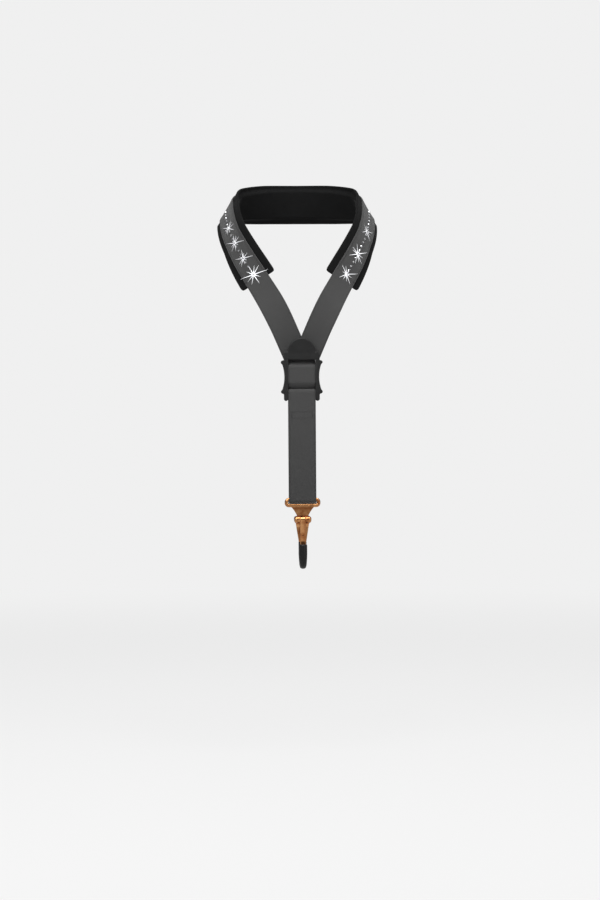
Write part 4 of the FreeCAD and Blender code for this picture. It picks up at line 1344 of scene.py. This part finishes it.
def lay_on_web(bm, at, clear):
    """Lays a flat form on the web's face at a place along it."""
    for vert in bm.verts:
        along_by, across_by, rise = vert.co
        vert.co = on_strap(at + along_by, across_by, FACE_OUT + clear + rise)
    face_outwards(bm)
    return bm


def stone_at(at, seed):
    bm = bmesh.new()
    bmesh.ops.create_cone(bm, cap_ends=True, segments=8, radius1=STONE_SIZE / 2,
                          radius2=STONE_SIZE * 0.27, depth=STONE_RISE * 0.72)
    shift(bm, (0, 0, STONE_RISE * 0.64))
    base = [face for face in bm.faces if face.normal.z < -0.9]
    girdle = verts_in(bmesh.ops.extrude_face_region(bm, geom=base)["geom"])
    bmesh.ops.translate(bm, verts=girdle, vec=(0, 0, -STONE_RISE * 0.28))
    rotate(bm, math.radians(22.5 + STONE_TURN * wobble(seed, 3)), "Z")
    tilt_x, tilt_y = STONE_TILT * wobble(seed, 1), STONE_TILT * wobble(seed, 2)
    for vert in bm.verts:
        share = vert.co.z / STONE_RISE
        vert.co.z += share * (vert.co.x * tilt_x + vert.co.y * tilt_y)
    return lay_on_web(bm, at, 0.02 * MM)


# %% [markdown]
# ## Stars
#
# At some stones the light breaks into a star of thin rays. The stars are painted highlights: they
# are made here as tapered slips of pale, faintly glowing material round a small core, which lie
# on the web. Each ray is a thin cone, laid down, flattened and turned to its own heading, and
# none reaches far past the web's edges.

# %% Star
# Painted highlight: the star's pale colour and its faint glow stand in for a sparkle of light,
# and the star is no lamp.
painted_sparkle = Finish("StarSparkleGlow", "crystal", Metallic=0.0, Roughness=0.35, Specular_IOR_Level=0.6,
              Emission_Strength=0.25)
shimmer = painted_sparkle.noise(500, 2.0)
painted_sparkle.set("Base Color", painted_sparkle.blend_colors(shimmer, (0.86, 0.87, 0.90, 1), (0.97, 0.97, 1.0, 1)))
painted_sparkle.set("Emission Color", painted_sparkle.blend_colors(shimmer, (0.80, 0.82, 0.86, 1), (1, 1, 1, 1)))
painted_sparkle.report()

# Which stones carry a star, counted from the pad's end: each star's scale and its turn.
STARS = {"right": {0: (0.95, 62), 5: (1.1, 66), 11: (0.9, 60)},
         "left": {0: (1.2, -11), 4: (0.8, -18), 8: (0.9, -26), 12: (0.85, -42)}}
# Each ray's heading in degrees and its length in millimetres.
RAYS = [(0, 11), (37, 6.5), (76, 12.5), (117, 7), (152, 9), (187, 9), (224, 6), (262, 12.5),
        (299, 8.5), (331, 7)]
RAY_REACH_ACROSS = 17.5 * MM
RAY_ROOT, RAY_TIP = 0.62 * MM, 0.06 * MM
STAR_CORE = 1.35 * MM


def ray_of(length, root, angle):
    bm = bmesh.new()
    bmesh.ops.create_cone(bm, cap_ends=True, segments=6, radius1=root, radius2=RAY_TIP,
                          depth=length)
    shift(bm, (0, 0, length / 2))
    rotate(bm, math.pi / 2, "Y")
    bmesh.ops.subdivide_edges(bm, edges=[e for e in bm.edges if e.calc_length() > length / 2],
                              cuts=3)
    bmesh.ops.scale(bm, verts=bm.verts, vec=(1, 1, 0.30))
    rotate(bm, angle, "Z")
    return bm


def star_at(at, scale, turned, seed):
    core = bmesh.new()
    bmesh.ops.create_uvsphere(core, u_segments=12, v_segments=6, radius=STAR_CORE * scale)
    bmesh.ops.scale(core, verts=core.verts, vec=(1, 1, 0.45))
    forms = []
    for i, (heading, reach) in enumerate(RAYS):
        angle = math.radians(heading + turned + 9 * wobble(seed, i))
        length = reach * scale * (1.2 + 0.22 * wobble(seed, i, 5)) * MM
        length = min(length, RAY_REACH_ACROSS / max(abs(math.sin(angle)), 0.1))
        forms.append(ray_of(length, RAY_ROOT * scale, angle))
    return lay_on_web(join(forms + [core]), at, 0.35 * MM)


# %% Stones and stars on both sides
for side, sign in (("left", -1), ("right", 1)):
    places = [sign * (PAD_HALF_LENGTH - 5 * MM - i * STONE_PITCH) for i in range(STONE_COUNT)]
    stones = join([stone_at(at, sign * (i + 1)) for i, at in enumerate(places)])
    piece = finish_piece(stones, "stones_" + side, stone, "strap", smooth=False)
    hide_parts(*["crystal_%s_%02d" % (side, i + 1) for i in range(STONE_COUNT)])
    stars = join([star_at(places[i], scale, turned, sign * (i + 2))
                  for i, (scale, turned) in STARS[side].items()])
    finish_piece(stars, "stars_" + side, painted_sparkle, "strap")

# %% [markdown]
# ## Small pieces that stay as they were drawn
#
# The sleeve, the pin, the spring and the swivel's stud are round turned or moulded forms, which
# the engineer's model already has right. They keep its meshes and only get their finishes.

# %% Finishes of the small nodes
for name, dressing in (("hook_sleeve", sleeve_coat), ("gate_pin", pin_metal),
                       ("gate_spring", spring_steel), ("swivel_stud", gold_metal)):
    materials = frame["nodes"][name].data.materials
    materials.clear()
    materials.append(dressing.material)
    print(name, "wears", dressing.material.name)

# %% [markdown]
# ## The last step
#
# The dressed strap has to stay as large as the model that it dresses. The view is kept plain,
# so that a colour renders about as it is written.

bpy.context.scene.view_settings.view_transform = "Standard"
